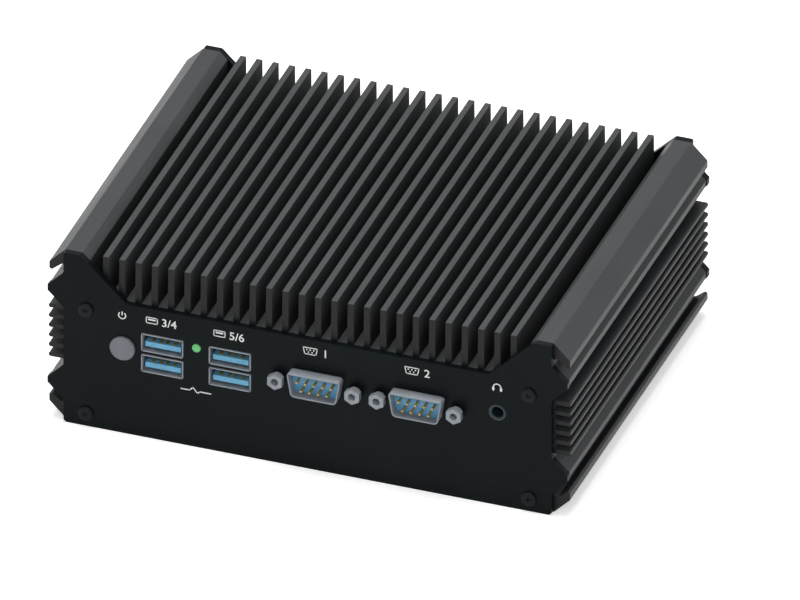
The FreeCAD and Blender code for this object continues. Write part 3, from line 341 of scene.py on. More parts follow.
# %% [markdown]
# ## Powder coat
#
# The two end panels and the cover underneath are sheet metal with a black powder coat. The powder
# melts into a skin with a very fine orange peel, about half a millimetre from crest to crest, and
# hardly any gloss.

# %% Make the powder coat
powder, tree, shader, place = new_finish("powder_coated_steel", 0.065, Metallic=0.0)
peel = pattern(tree, place, 0.5 * MM, detail=1.5)
cloud = pattern(tree, place, 25 * MM)
feed(tree, shader, {
    "Base Color": tones(tree, cloud, "#0A0F11", "#0F1517"),
    "Roughness": between(tree, peel, 0.30, 0.42),
    "Normal": bumps(tree, peel, 0.006 * MM, 0.5)})
dress(powder, "front_panel", "rear_panel", "bottom_cover")
print(powder.name)

# %% [markdown]
# ## Plated metals
#
# The sockets, the contacts and the metal parts on the board share one recipe, because they are
# made alike: a formed or turned piece, cleaned and plated. A fine grain along the working
# direction moves the roughness, and a slow cloud moves the tone. What differs is the metal's
# colour and how rough the plating is. Satin nickel and thin gold flash scatter most of the light
# in their fine crystals, so they count as metal only in part. A metal keeps the usual index of
# refraction.

# %% Make the plated metals
def plated(name, dark, light, smooth, rough, metallic=1.0):
    """A metal with a thin plating, its grain along the width of the case."""
    material, tree, shader, place = new_finish(name, Metallic=metallic)
    working = pattern(tree, place, 0.15 * MM, stretch=(12, 1, 1))
    cloud = pattern(tree, place, 4 * MM)
    feed(tree, shader, {
        "Base Color": tones(tree, cloud, dark, light),
        "Roughness": between(tree, working, smooth, rough),
        "Normal": bumps(tree, working, 0.004 * MM, 0.4)})
    return material


nickel = plated("satin_nickel_plated_sheet", "#858A91", "#91969D", 0.46, 0.58, metallic=0.25)
gold = plated("gold_plated_contacts", "#B08E3E", "#C4A252", 0.35, 0.45, metallic=0.5)
zinc = plated("zinc_plated_steel", "#9FA2A4", "#B2B5B6", 0.30, 0.45)
bare = plated("nickel_plated_steel_cap", "#B4B6B8", "#C2C4C6", 0.18, 0.30)
can = plated("drawn_aluminium_can", "#BDBFC0", "#CBCDCE", 0.28, 0.40)
print("four plated metals and the capacitors' aluminium")

# %% [markdown]
# ## Black zinc on the screws
#
# The screws are plated with zinc and dipped in a black passivation. It is almost as dull as the
# panel, and only a little of the metal shines through where the light meets it.

# %% Make the black zinc
black_zinc, tree, shader, place = new_finish("black_zinc_passivated_steel", 0.12, Metallic=0.1)
speckle = pattern(tree, place, 0.3 * MM)
feed(tree, shader, {
    "Base Color": tones(tree, speckle, "#0F1113", "#15181A"),
    "Roughness": between(tree, speckle, 0.34, 0.48)})
print(black_zinc.name)

# %% [markdown]
# ## Moulded plastics
#
# Sockets, the button and the parts on the board are moulded. A moulded skin copies its steel tool,
# which is eroded to a very fine grain, and its colour drifts a little with the flow of the melt.
# One recipe makes them all, with a colour pair and a gloss for each.

# %% Make the moulded plastics
def moulded(name, dark, light, smooth, rough, specular=0.3, grain=0.25 * MM):
    """A moulded plastic with an eroded skin."""
    material, tree, shader, place = new_finish(name, specular)
    eroded = pattern(tree, place, grain, detail=2.0)
    flow = pattern(tree, place, 6 * MM, stretch=(1, 1, 3))
    feed(tree, shader, {
        "Base Color": tones(tree, flow, dark, light),
        "Roughness": between(tree, eroded, smooth, rough),
        "Normal": bumps(tree, eroded, 0.008 * MM, 0.4)})
    return material


blue_pbt = moulded("blue_pbt_usb_tongue", "#5AA5C8", "#68B2D6", 0.28, 0.40, specular=0.5)
serial_pbt = moulded("blue_grey_pbt_insulator", "#4C8CB4", "#5999BF", 0.32, 0.45, specular=0.5)
black_pbt = moulded("black_pbt_moulding", "#131415", "#1B1C1D", 0.42, 0.56)
slate_pbt = moulded("slate_pbt_audio_ring", "#1B2A31", "#223239", 0.34, 0.46)
grey_abs = moulded("grey_abs_button", "#71747B", "#7B7E85", 0.40, 0.52)
resin = moulded("moulded_chip_resin", "#18191A", "#202122", 0.50, 0.65)
ferrite = moulded("pressed_ferrite", "#2E2F31", "#3A3B3D", 0.60, 0.78, grain=0.12 * MM)
silicone = moulded("filled_silicone_pad", "#8494A0", "#92A2AD", 0.70, 0.85)
print("eight moulded finishes")

# %% [markdown]
# ## The circuit board
#
# A board is woven glass in resin with green solder resist. The weave of the glass just shows
# through the resist, as a fine grid of about half a millimetre, and copper areas under it are a
# slightly lighter green than the bare laminate. Large square cells stand for these areas, and two
# waves at right angles make the weave.

# %% Make the solder resist
COPPER_AREA = 9 * MM
WEAVE = 0.5 * MM
WAVES_PER_UNIT = 0.31

resist, tree, shader, place = new_finish("green_solder_resist", Roughness=0.35)
areas = node(tree, "ShaderNodeTexVoronoi", {"Vector": place, "Scale": 1 / COPPER_AREA},
             distance="CHEBYCHEV")
along, across = [
    node(tree, "ShaderNodeTexWave", {"Vector": place, "Scale": WAVES_PER_UNIT / WEAVE},
         bands_direction=direction).outputs["Fac"] for direction in ("X", "Y")]
weave = node(tree, "ShaderNodeMath", {0: along, 1: across}, operation="ADD")
feed(tree, shader, {
    "Base Color": tones(tree, areas.outputs["Distance"], "#1D5B35", "#15452A"),
    "Normal": bumps(tree, weave.outputs["Value"], 0.01 * MM, 0.5)})
print(resist.name)

# %% [markdown]
# ## The lit lens
#
# The status light is a small green lens that a diode shines through from behind. The plastic is
# clear green and glows a little, most in its middle, where the diode sits. The glow is set by how
# far a point lies from the lens's axis.

# %% Make the green lens
GLOW_MIDDLE, GLOW_RIM = 0.23, 0.16
GLOW_REACH = 1.4 * MM

lens, tree, shader, place = new_finish("green_acrylic_lens_lit", Roughness=0.25)
light_at = middle("led_lens")
centred = node(tree, "ShaderNodeMapping",
               {"Vector": place, "Location": (-light_at.x, 0, -light_at.z), "Scale": (1, 0, 1)})
away = node(tree, "ShaderNodeVectorMath", {0: centred.outputs["Vector"]}, operation="LENGTH")
shine = between(tree, away.outputs["Value"], GLOW_MIDDLE, GLOW_RIM, dark=0.0, light=GLOW_REACH)
cloud = pattern(tree, place, 1 * MM)
feed(tree, shader, {
    "Base Color": tones(tree, cloud, "#3E9A56", "#4AA763"),
    "Emission Color": linear("#7DE68B"),
    "Emission Strength": shine})
print(lens.name)

# %% [markdown]
# ## White printing ink
#
# The marks beside the sockets are screen printed. The ink is opaque and dries matt, with pinholes
# from the mesh so small that they only break its gloss.

# %% Make the ink
ink, tree, shader, place = new_finish("white_screen_print_ink", 0.2)
pinholes = pattern(tree, place, 0.2 * MM)
feed(tree, shader, {
    "Base Color": tones(tree, pinholes, "#E4E5E5", "#F0F0F0"),
    "Roughness": between(tree, pinholes, 0.55, 0.75)})
print(ink.name)

# %% [markdown]
# ## Tools for modelling
#
# The pieces below are made with the tools of the mesh editor. A tool acts on whatever is selected,
# so every piece starts alone, and faces or edges are picked by a rule, such as all faces that look
# forward. A finished piece keeps its place in its mesh, as the frame's own nodes do.

# %% Write the helpers that every piece needs
TINY = 0.01 * MM
FORWARD = Vector((0, -1, 0))


def alone(piece=None):
    """Leaves the editor, deselects everything and then selects only this piece."""
    if bpy.context.object and bpy.context.object.mode == "EDIT":
        bpy.ops.object.mode_set(mode="OBJECT")
    bpy.ops.object.select_all(action="DESELECT")
    if piece:
        piece.select_set(True)
        bpy.context.view_layer.objects.active = piece


def write_place():
    """Writes the place of what is selected into its mesh, so that its object is at the origin."""
    bpy.ops.object.transform_apply(location=True, rotation=True, scale=True)


def start(add, **values):
    """Adds one primitive, writes its place into its mesh and opens it in the editor."""
    alone()
    add(**values)
    write_place()
    bpy.ops.object.mode_set(mode="EDIT")
    return bpy.context.object


def round_bar(radius, y0, y1, x=0.0, z=0.0, sides=32):
    """Starts a cylinder along the Y axis between two depths."""
    return start(bpy.ops.mesh.primitive_cylinder_add, vertices=sides, radius=radius, depth=y1 - y0,
                 location=(x, (y0 + y1) / 2, z), rotation=(math.pi / 2, 0, 0))


def block(x0, x1, y0, y1, z0, z1):
    """Starts a box between two corners."""
    return start(bpy.ops.mesh.primitive_cube_add, size=1,
                 location=((x0 + x1) / 2, (y0 + y1) / 2, (z0 + z1) / 2),
                 scale=(x1 - x0, y1 - y0, z1 - z0))


def pick(kind, test):
    """Selects the faces, edges or vertices of the open piece that pass a test."""
    bpy.ops.mesh.select_mode(type=kind)
    bpy.ops.mesh.select_all(action="DESELECT")
    mesh = bmesh.from_edit_mesh(bpy.context.object.data)
    parts = {"FACE": mesh.faces, "EDGE": mesh.edges, "VERT": mesh.verts}[kind]
    for part in parts:
        part.select_set(bool(test(part)))
    bmesh.update_edit_mesh(bpy.context.object.data)


def pick_end(direction):
    """Selects the faces that look in one direction."""
    pick("FACE", lambda face: face.normal.dot(direction) > 0.99)


def pick_rim(y):
    """Selects the edges that lie at one depth."""
    pick("EDGE", lambda edge: all(abs(corner.co.y - y) < TINY for corner in edge.verts))


def pull(depth, height=0.0):
    """Extrudes what is selected backwards, and up if asked."""
    bpy.ops.mesh.extrude_region_move(TRANSFORM_OT_translate={"value": (0, depth, height)})


def spread(factor, centre=(0, 0, 0)):
    """Scales what is selected about a point, across the Y axis."""
    bpy.ops.transform.resize(value=(factor, 1, factor), center_override=centre)


def bevel(size, steps=1):
    """Cuts the selected edges flat with one step, or rounds them with more."""
    bpy.ops.mesh.bevel(offset=size, segments=steps, affect="EDGES")


def bevel_all(size, steps=1):
    """Cuts or rounds every edge of the open piece."""
    bpy.ops.mesh.select_all(action="SELECT")
    bevel(size, steps)


def bevel_rim(y, size, steps=1):
    """Cuts or rounds the edges at one depth."""
    pick_rim(y)
    bevel(size, steps)


def bevel_long(size, steps):
    """Rounds the edges that run along the case."""
    pick("EDGE", lambda edge: abs(edge.verts[0].co.y - edge.verts[1].co.y) > TINY)
    bevel(size, steps)


def carve(piece, cutter, operation="DIFFERENCE"):
    """Cuts a piece with another one, which is then gone."""
    alone(piece)
    modifier = piece.modifiers.new("carve", "BOOLEAN")
    modifier.object = cutter
    modifier.operation = operation
    modifier.solver = "EXACT"
    bpy.ops.object.modifier_apply(modifier=modifier.name)
    bpy.data.objects.remove(cutter)
    return piece


def moved(piece, step, turned=False):
    """Moves a piece by a step, half turned about the upright axis first if asked."""
    alone(piece)
    if turned:
        bpy.ops.transform.rotate(value=math.pi, orient_axis="Z", center_override=(0, 0, 0))
    bpy.ops.transform.translate(value=step)
    write_place()
    return piece


def copied(piece, step, turned=False):
    """A copy with its own mesh, moved in the same way."""
    alone(piece)
    bpy.ops.object.duplicate(linked=False)
    return moved(bpy.context.object, step, turned)


def joined(pieces):
    """Several pieces as one object."""
    alone(pieces[0])
    for piece in pieces[1:]:
        piece.select_set(True)
    bpy.ops.object.join()
    return bpy.context.object


def settle(piece, name, finish, body="case"):
    """Closes a piece: its name, its finish, the body that it rides, and smooth round faces."""
    alone(piece)
    bpy.ops.object.shade_smooth_by_angle(angle=math.radians(30))
    piece.name = name
    piece.data.name = name
    piece.data.materials.clear()
    piece.data.materials.append(finish)
    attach(piece, body)
    return piece


print("modelling helpers are ready")

# %% [markdown]
# ## Cross recess
#
# A screw is driven by a cross that a punch leaves in its head. The punch is four tapered wings, so
# the cutter is two crossed blocks whose inner ends are narrower. It is made anew for each kind of
# head, at the head's place.

# %% Write the cross
CROSS_TAPER = 0.55


def cross_cutter(span, slot_width, depth, top):
    """Two crossed blocks that taper as they go in, from just before a head's top."""
    wings = []
    for wide, high in ((span, slot_width), (slot_width, span)):
        wing = block(-wide / 2, wide / 2, top - depth, top + depth, -high / 2, high / 2)
        pick_end(-FORWARD)
        spread(CROSS_TAPER, (0, top + depth, 0))
        wings.append(wing)
    return carve(wings[0], wings[1], "UNION")


print("the cross is cut from two wings")

# %% [markdown]
# ## Panel screws
#
# Eight low pan head screws hold the two panels. A head starts as a disc, its rim is rolled into a
# shallow dome, and the cross goes in. Its core grows out of the back: a smaller ring is inset
# there and drawn out, and its tip is beveled as a cut thread's tip is. One screw is made and
# copied.

# %% Model one panel screw and copy it
HEAD_R = 2.45 * MM
HEAD_H = 0.9 * MM
HEAD_DOME = 0.55 * MM
CORE_R = 1.2 * MM
CORE_L = 7.9 * MM
CORE_TIP = 0.3 * MM

screw = round_bar(HEAD_R, -HEAD_H, 0, sides=40)
bevel_rim(-HEAD_H, HEAD_DOME, 5)
pick_end(-FORWARD)
bpy.ops.mesh.inset(thickness=HEAD_R - CORE_R)
pull(CORE_L)
bevel_rim(CORE_L, CORE_TIP)
carve(screw, cross_cutter(2.3 * MM, 0.55 * MM, 0.3 * MM, -HEAD_H))

for node_name, turned, seat in (("front_panel_screws", False, front),
                                ("rear_panel_screws", True, rear)):
    low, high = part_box(node_name)
    four = [copied(screw, (x, seat, z), turned)
            for x in (low.x + HEAD_R, high.x - HEAD_R) for z in (low.z + HEAD_R, high.z - HEAD_R)]
    piece = settle(joined(four), node_name + "_dressed", black_zinc)
    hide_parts(node_name)
bpy.data.objects.remove(screw)
print("eight panel screws")

# %% [markdown]
# ## Cover screws
#
# The cover underneath is flush, so its four screws are countersunk. The head is a cone that is
# widest at the outside. It is made pointing forward, like the others, and then turned to look
# down.

# %% Model one countersunk screw and copy it
SINK_R = 2.75 * MM
SINK_H = 2.0 * MM
SINK_RIM = 0.12 * MM
sink_low, sink_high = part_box("bottom_cover_screws")

countersunk = round_bar(SINK_R, 0, SINK_H, sides=40)
pick_end(-FORWARD)
spread(CORE_R / SINK_R, (0, SINK_H, 0))
pull(sink_high.z - SINK_H)
bevel_rim(sink_high.z, CORE_TIP)
bevel_rim(0, SINK_RIM, 2)
carve(countersunk, cross_cutter(2.6 * MM, 0.6 * MM, 0.9 * MM, 0))
alone(countersunk)
bpy.ops.transform.rotate(value=-math.pi / 2, orient_axis="X", center_override=(0, 0, 0))
write_place()
four = [copied(countersunk, (x, y, sink_low.z))
        for x in (sink_low.x + SINK_R, sink_high.x - SINK_R)
        for y in (sink_low.y + SINK_R, sink_high.y - SINK_R)]
cover_screws = settle(joined(four), "bottom_cover_screws_dressed", black_zinc)
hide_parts("bottom_cover_screws")
bpy.data.objects.remove(countersunk)
print("four cover screws, up to", round(sink_high.z / MM, 2), "mm")

# %% [markdown]
# ## Jackscrews
#
# Each serial socket stands between two hexagonal screws that a plug is fastened to. The bar that
# they are cut from is hexagonal, and the lathe takes the corners off its end and turns a round
# neck behind it. So a hexagon is cut with a round bar whose rim is beveled. The thread inside is a
# row of rings, each wider in its middle.

# %% Model a jackscrew
JACK_AF = 4.7 * MM
JACK_NECK = 1.3 * MM
JACK_NECK_R = 1.8 * MM
JACK_BORE_R = 1.2 * MM
JACK_STUD_R = 1.33 * MM
JACK_ROUND = 0.15 * MM
OVERLAP = 0.1 * MM
THREAD_START = 0.05 * MM
THREAD_PITCH = 0.45 * MM
THREAD_SWELL = 1.14
THREAD_TURNS = 6

jack_low, jack_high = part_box("serial_jackscrews_1")
jack_corner = JACK_AF / math.sqrt(3)
turned_r = jack_corner * 1.01
rim = jack_low.y
jack = round_bar(jack_corner, rim, front - JACK_NECK, sides=6)
turned_bar = round_bar(turned_r, rim, front, sides=48)
bevel_rim(rim, JACK_ROUND, 2)
carve(jack, turned_bar, "INTERSECT")
neck = round_bar(JACK_NECK_R, front - JACK_NECK - OVERLAP, front)
pick_end(-FORWARD)
bpy.ops.mesh.inset(thickness=JACK_NECK_R - JACK_STUD_R)
pull(jack_high.y - front)
bevel_rim(jack_high.y, CORE_TIP)
carve(jack, neck, "UNION")
thread = round_bar(JACK_BORE_R, rim - MM, rim + THREAD_START, sides=24)
for i in range(THREAD_TURNS):
    pick("FACE", lambda face: face.normal.y > 0.9)
    for swell in (THREAD_SWELL, 1 / THREAD_SWELL):
        pull(THREAD_PITCH / 2)
        spread(swell)
carve(jack, thread)
print("a jackscrew", round((jack_high.y - rim) / MM, 1), "mm long")

# %% [markdown]
# ## Folded sheet
#
# The shells of the sockets are sheet metal. Each starts as a bar with the right outline. Its ends
# are taken off, the skin that is left gets the thickness of the sheet inwards, and the front rim
# is rounded as the die rounds it.

# %% Write how sheet is folded
def open_ends():
    """Takes both end faces off the open piece."""
    for direction in (FORWARD, -FORWARD):
        pick_end(direction)
        bpy.ops.mesh.delete(type="FACE")


def folded(tube, thickness, rim_y, rim_round):
    """Gives an open tube the thickness of its sheet inwards and rounds its front rim."""
    alone(tube)
    sheet = tube.modifiers.new("sheet", "SOLIDIFY")
    sheet.thickness = thickness
    sheet.offset = -1
    sheet.use_even_offset = True
    bpy.ops.object.modifier_apply(modifier="sheet")
    bpy.ops.object.mode_set(mode="EDIT")
    bevel_rim(rim_y, rim_round, 2)


print("sheet gets its thickness inwards")

# %% [markdown]
# ## Serial sockets
#
# The shell of a serial socket is drawn from sheet steel: a flange lies behind the panel and a
# D-shaped rim comes through it. The rim starts as a box whose lower corners move in and whose long
# edges are rounded.

# %% Model the shell of a serial socket
D_W = 17.5 * MM
D_H = 8.3 * MM
D_ROUND = 1.2 * MM
SHEET = 0.45 * MM
SHEET_ROUND = 0.14 * MM
LEAN = math.tan(math.radians(10))
JACK_SPACING = 24.99 * MM
FLANGE_T = 0.8 * MM
FLANGE_ROUND = 0.8 * MM
NUT_AF = 4.9 * MM
NUT_L = 4.0 * MM
NUT_ROUND = 0.3 * MM
STUD_GAP = 0.03 * MM
HOLE_TAPER = 1.05

shell_low, shell_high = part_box("serial_shell_1")
serial_middle = middle("serial_shell_1")
flange_back = shell_high.y - NUT_L
flange_front = flange_back - FLANGE_T
jack_z = middle("serial_jackscrews_1").z


def d_bar(y0, y1, grow=0.0):
    """Starts a bar with the D-shaped outline of the rim, a little larger or smaller."""
    half_w = D_W / 2 + grow
    half_h = D_H / 2 + grow
    bar = block(-half_w, half_w, y0, y1, -half_h, half_h)
    for side in (-1, 1):
        pick("VERT", lambda corner: corner.co.z < 0 and corner.co.x * side > 0)
        bpy.ops.transform.translate(value=(-side * 2 * half_h * LEAN, 0, 0))
    bevel_long(D_ROUND + grow, 6)
    return bar


shell = d_bar(rim, flange_front + TINY)
open_ends()
folded(shell, SHEET, rim, SHEET_ROUND)
flange = block(shell_low.x - serial_middle.x, shell_high.x - serial_middle.x,
               flange_front, flange_back, shell_low.z - jack_z, shell_high.z - jack_z)
bevel_long(FLANGE_ROUND, 3)
carve(flange, d_bar(flange_front - MM, flange_back + MM, -SHEET))
nuts = []
for x in (-JACK_SPACING / 2, JACK_SPACING / 2):
    nuts.append(round_bar(NUT_AF / math.sqrt(3), flange_back, shell_high.y, x, sides=6))
    bevel_rim(shell_high.y, NUT_ROUND)
shell = joined([shell, flange] + nuts)
for x in (-JACK_SPACING / 2, JACK_SPACING / 2):
    hole = round_bar(JACK_STUD_R + STUD_GAP, flange_front - MM, shell_high.y + MM, x, sides=24)
    pick_rim(flange_front - MM)
    spread(HOLE_TAPER, (x, 0, 0))
    carve(shell, hole)
print("flange from", round(flange_front / MM, 2), "to", round(flange_back / MM, 2), "mm")

# %% [markdown]
# ## Serial pins
#
# Nine pins stand in the rim, five above and four below. Their tips are rounded so that a plug
# finds them. Behind, each one turns up as a square leg that is soldered into the board.

# %% Model the pins of a serial socket
PIN_R = 0.42 * MM
PIN_TIP = 0.3 * MM
PIN_PITCH = 2.77 * MM
PIN_ROWS = 2.84 * MM
PIN_LEG = 0.58 * MM
PIN_LEG_ROWS = 2.0 * MM
PIN_LEG_BEND = 0.25 * MM
PIN_LOW = 0.4 * MM

pin_low, pin_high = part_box("serial_pins_1")
pins = []
for row, count in enumerate((5, 4)):
    back = pin_high.y - (1 - row) * PIN_LEG_ROWS
    height = PIN_ROWS * (0.5 - row) - PIN_LOW
    pin = round_bar(PIN_R, pin_low.y, back - PIN_LEG, 0, height, sides=16)
    bevel_rim(pin_low.y, PIN_TIP, 4)
    leg = block(-PIN_LEG / 2, PIN_LEG / 2, back - PIN_LEG, back,
                height - PIN_LEG / 2, pin_high.z - jack_z)
    pick("EDGE", lambda edge: all(corner.co.y > back - TINY and corner.co.z < height
                                  for corner in edge.verts))
    bevel(PIN_LEG_BEND, 3)
    one = joined([pin, leg])
    pins += [copied(one, ((i - (count - 1) / 2) * PIN_PITCH, 0, 0)) for i in range(count)]
    bpy.data.objects.remove(one)
pins = joined(pins)
print("nine pins")

# %% [markdown]
# The shell, the pins and the jackscrews of one socket are finished, and both sockets are alike. So
# each piece is copied to the places that the frame gives, and the patterns are thrown away.

# %% Put both serial sockets in place
for number in ("1", "2"):
    centre = middle("serial_shell_" + number).x
    place = (centre, 0, jack_z)
    piece = settle(copied(shell, place), "serial_shell_dressed_" + number, nickel)
    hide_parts("serial_shell_" + number)
    piece = settle(copied(pins, place), "serial_pins_dressed_" + number, gold)
    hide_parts("serial_pins_" + number)
    pair = [copied(jack, (centre + side * JACK_SPACING / 2, 0, jack_z)) for side in (-1, 1)]
    piece = settle(joined(pair), "serial_jackscrews_dressed_" + number, nickel)
    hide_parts("serial_jackscrews_" + number)
for template in (shell, pins, jack):
    bpy.data.objects.remove(template)
print("two serial sockets")

# %% [markdown]
# ## Power button
#
# The button is a moulded cap that travels in the panel. Its face is very slightly hollow so that a
# finger finds its middle, its rim is rounded, and behind the panel a collar keeps it in. The stem
# that presses the switch is drawn out of the collar.

# %% Model the power button
CAP_R = 4.0 * MM
CAP_ROUND = 0.28 * MM
CAP_EDGE = 0.35 * MM
CAP_RING = 0.9 * MM
HOLLOW = (0.05 * MM, 0.04 * MM, 0.02 * MM)
COLLAR_T = 0.8 * MM
STEM_R = 1.5 * MM

button_low, button_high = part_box("power_button")
collar_r = (button_high.x - button_low.x) / 2


def step_to(factor):
    """Extrudes the end of a bar on the spot and makes it wider or narrower, as a step."""
    bpy.ops.mesh.extrude_region_move()
    spread(factor)


button = round_bar(CAP_R, button_low.y, behind_panel, sides=64)
bevel_rim(button_low.y, CAP_ROUND, 4)
pick_end(FORWARD)
bpy.ops.mesh.inset(thickness=CAP_EDGE)
for depth in HOLLOW:
    bpy.ops.mesh.inset(thickness=CAP_RING)
    bpy.ops.transform.translate(value=(0, depth, 0))
pick_end(-FORWARD)
step_to(collar_r / CAP_R)
pull(COLLAR_T)
step_to(STEM_R / collar_r)
pull(button_high.y - behind_panel - COLLAR_T)
moved(button, (middle("power_button").x, 0, middle("power_button").z))
settle(button, "power_button_dressed", grey_abs, body="button")
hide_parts("power_button")
print("the button stands", round((front - button_low.y) / MM, 2), "mm proud")

# %% [markdown]
# ## Status light
#
# The light is a short rod of clear green plastic. Its end stands a fifth of a millimetre proud of
# the panel, and its edge is rounded. A shoulder behind the panel keeps it in its hole.

# %% Model the status light
LIGHT_R = 1.38 * MM
LIGHT_ROUND = 0.18 * MM
LIGHT_PROUD = 0.2 * MM

light_low, light_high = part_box("led_lens")
light = round_bar(LIGHT_R, front - LIGHT_PROUD, behind_panel, sides=48)
bevel_rim(front - LIGHT_PROUD, LIGHT_ROUND, 3)
pick_end(-FORWARD)
step_to((light_high.x - light_low.x) / 2 / LIGHT_R)
pull(light_high.y - behind_panel)
moved(light, (light_at.x, 0, light_at.z))
settle(light, "led_lens_dressed", lens)
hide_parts("led_lens")
print("the light is", round(2 * LIGHT_R / MM, 2), "mm across")

# %% [markdown]
# ## USB sockets
#
# A USB socket is a can folded from nickel-plated sheet. Two mouths reach through the panel, one
# for each plug, and sprung fingers are lanced out of each mouth to grip the plug. A mouth is a box
# that is opened and folded like the rim of a serial socket.

# %% Model a finger and the shell of a USB socket
USB_SIDES = ("left", "right", "rear")
USB_W = 13.6 * MM
USB_H = 6.3 * MM
USB_TOP = 4.1 * MM
MOUTH_L = 2.5 * MM
USB_SHEET = 0.4 * MM
MOUTH_ROUND = 0.35 * MM
CAN_ROUND = 0.3 * MM
FINGER_W = 2.0 * MM
FINGER_L = 1.3 * MM
FINGER_T = 0.15 * MM
FINGER_X = 3.4 * MM
FINGER_BACK = 0.8 * MM
FINGER_ROOT = 0.3 * MM
FINGER_BOW = (0.20, 0.10, -0.10, -0.20)

usb_low, usb_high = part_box("usb_shell_left")
usb_face = usb_low.y
mouth_back = front + MOUTH_L
usb_levels = (usb_low.z + USB_H / 2, usb_high.z - USB_TOP)


def spring_finger(x, z, inwards):
    """Starts a leaf from the mouth's rim that bows towards the plug and back, fixed on its wall."""
    root = usb_face + FINGER_BACK
    leaf = block(x - FINGER_W / 2, x + FINGER_W / 2, root, root + FINGER_ROOT,
                 *sorted((z, z + inwards * FINGER_T)))
    for rise in FINGER_BOW:
        pick("FACE", lambda face: face.normal.y > 0.7)
        pull(FINGER_L, inwards * rise * MM)
    return leaf


def usb_mouth(z):
    """One mouth with its four fingers."""
    tube = block(-USB_W / 2, USB_W / 2, usb_face, mouth_back, z - USB_H / 2, z + USB_H / 2)
    open_ends()
    bevel_long(MOUTH_ROUND, 3)
    folded(tube, USB_SHEET, usb_face, 0.1 * MM)
    fingers = [spring_finger(x, z + side * (USB_H / 2 - USB_SHEET), -side)
               for x in (-FINGER_X, FINGER_X) for side in (-1, 1)]
    return joined([tube] + fingers)


def usb_can():
    """The folded can behind the panel, hollow and open where the mouths join it."""
    body = block(-USB_W / 2, USB_W / 2, behind_panel, usb_high.y, usb_low.z, usb_high.z)
    bevel_long(CAN_ROUND, 2)
    half_room = USB_W / 2 - USB_SHEET
    room = block(-half_room, half_room, mouth_back, usb_high.y - USB_SHEET,
                 usb_low.z + USB_SHEET, usb_high.z - USB_SHEET)
    bevel_all(0.1 * MM)
    carve(body, room)
    for z in usb_levels:
        way = block(-half_room, half_room, behind_panel - MM, mouth_back + MM,
                    z - USB_H / 2 + USB_SHEET, z + USB_H / 2 - USB_SHEET)
        bevel_all(0.05 * MM)
        carve(body, way)
    return body


usb = joined([usb_can()] + [usb_mouth(z) for z in usb_levels])
for side in USB_SIDES:
    place = (middle("usb_shell_" + side).x, 0, 0)
    piece = settle(copied(usb, place, turned=side == "rear"), "usb_shell_dressed_" + side,
                   nickel)
    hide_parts("usb_shell_" + side)
bpy.data.objects.remove(usb)
print("three USB sockets with", 3 * 2 * 4, "fingers")

# %% [markdown]
# ## Audio socket
#
# The audio socket's nose fills its hole in the panel. Its mouth is turned with a shallow funnel
# that guides the plug. Nose and block are moulded in one piece, so they are joined before they are
# bored.

# %% Model the audio socket
NOSE_R = 2.85 * MM
NOSE_ROUND = 0.15 * MM
NOSE_DOWN = 5.0 * MM
BORE_R = 1.85 * MM
BORE_WALL = 1.2 * MM
FUNNEL_R = 2.2 * MM
FUNNEL_DEPTH = 0.5 * MM
FUNNEL_LIP = 0.05 * MM
FUNNEL_TAPER = 0.8

audio_low, audio_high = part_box("audio_jack")
audio_at = (middle("audio_jack").x, audio_high.z - NOSE_DOWN)
nose_face = audio_low.y
nose = round_bar(NOSE_R, nose_face, behind_panel + MM, *audio_at, sides=48)
bevel_rim(nose_face, NOSE_ROUND, 2)
audio = block(audio_low.x, audio_high.x, behind_panel, audio_high.y, audio_low.z, audio_high.z)
bevel_all(0.3 * MM, 2)
bore = round_bar(BORE_R, nose_face - MM, audio_high.y - BORE_WALL, *audio_at)
funnel = round_bar(FUNNEL_R, nose_face - MM, nose_face + FUNNEL_LIP, *audio_at)
pick_end(-FORWARD)
pull(FUNNEL_DEPTH - FUNNEL_LIP)
spread(FUNNEL_TAPER, (audio_at[0], 0, audio_at[1]))
carve(audio, nose, "UNION")
carve(audio, bore)
carve(audio, funnel)
settle(audio, "audio_jack_dressed", slate_pbt)
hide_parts("audio_jack")
print("audio socket at", round(audio_at[0] / MM, 1), "mm")

# %% [markdown]
# ## Lights of the network sockets
#
# A network socket shows two little windows above its mouth, one for the link and one for traffic.
# They are light guides of clear plastic, one green and one amber, and stand a tenth of a
# millimetre proud of the shield.

# %% Model the windows of the network sockets
WINDOW_W = 2.6 * MM
WINDOW_H = 1.3 * MM
WINDOW_T = 0.15 * MM
WINDOW_SUNK = 0.05 * MM
WINDOW_SHIFT = 5.2 * MM
WINDOW_DOWN = 1.75 * MM

GUIDES = [(-1, "green", moulded("green_light_guide", "#3F8F55", "#4C9C62", 0.2, 0.3, 0.5)),
          (1, "amber", moulded("amber_light_guide", "#B07A2A", "#BD8838", 0.2, 0.3, 0.5))]
for number in ("1", "2"):
    lan_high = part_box("lan_shell_" + number)[1]
    window_z = lan_high.z - WINDOW_DOWN
    for side, colour, guide in GUIDES:
        x = middle("lan_shell_" + number).x + side * WINDOW_SHIFT
        window = block(x - WINDOW_W / 2, x + WINDOW_W / 2,
                       lan_high.y - WINDOW_SUNK, lan_high.y + WINDOW_T - WINDOW_SUNK,
                       window_z - WINDOW_H / 2, window_z + WINDOW_H / 2)
        pick("EDGE", lambda edge: max(corner.co.y for corner in edge.verts) > lan_high.y)
        bevel(0.1 * MM, 2)
        settle(window, "lan_window_" + colour + "_" + number, guide)
print("four windows")

# %% [markdown]
# ## Contacts of the video sockets
#
# A video socket's tongue carries a row of fine gilt blades on its upper and its lower face. They
# are far finer than anything else on the rear, so one blade is made, rounded at its tip, and
# copied.

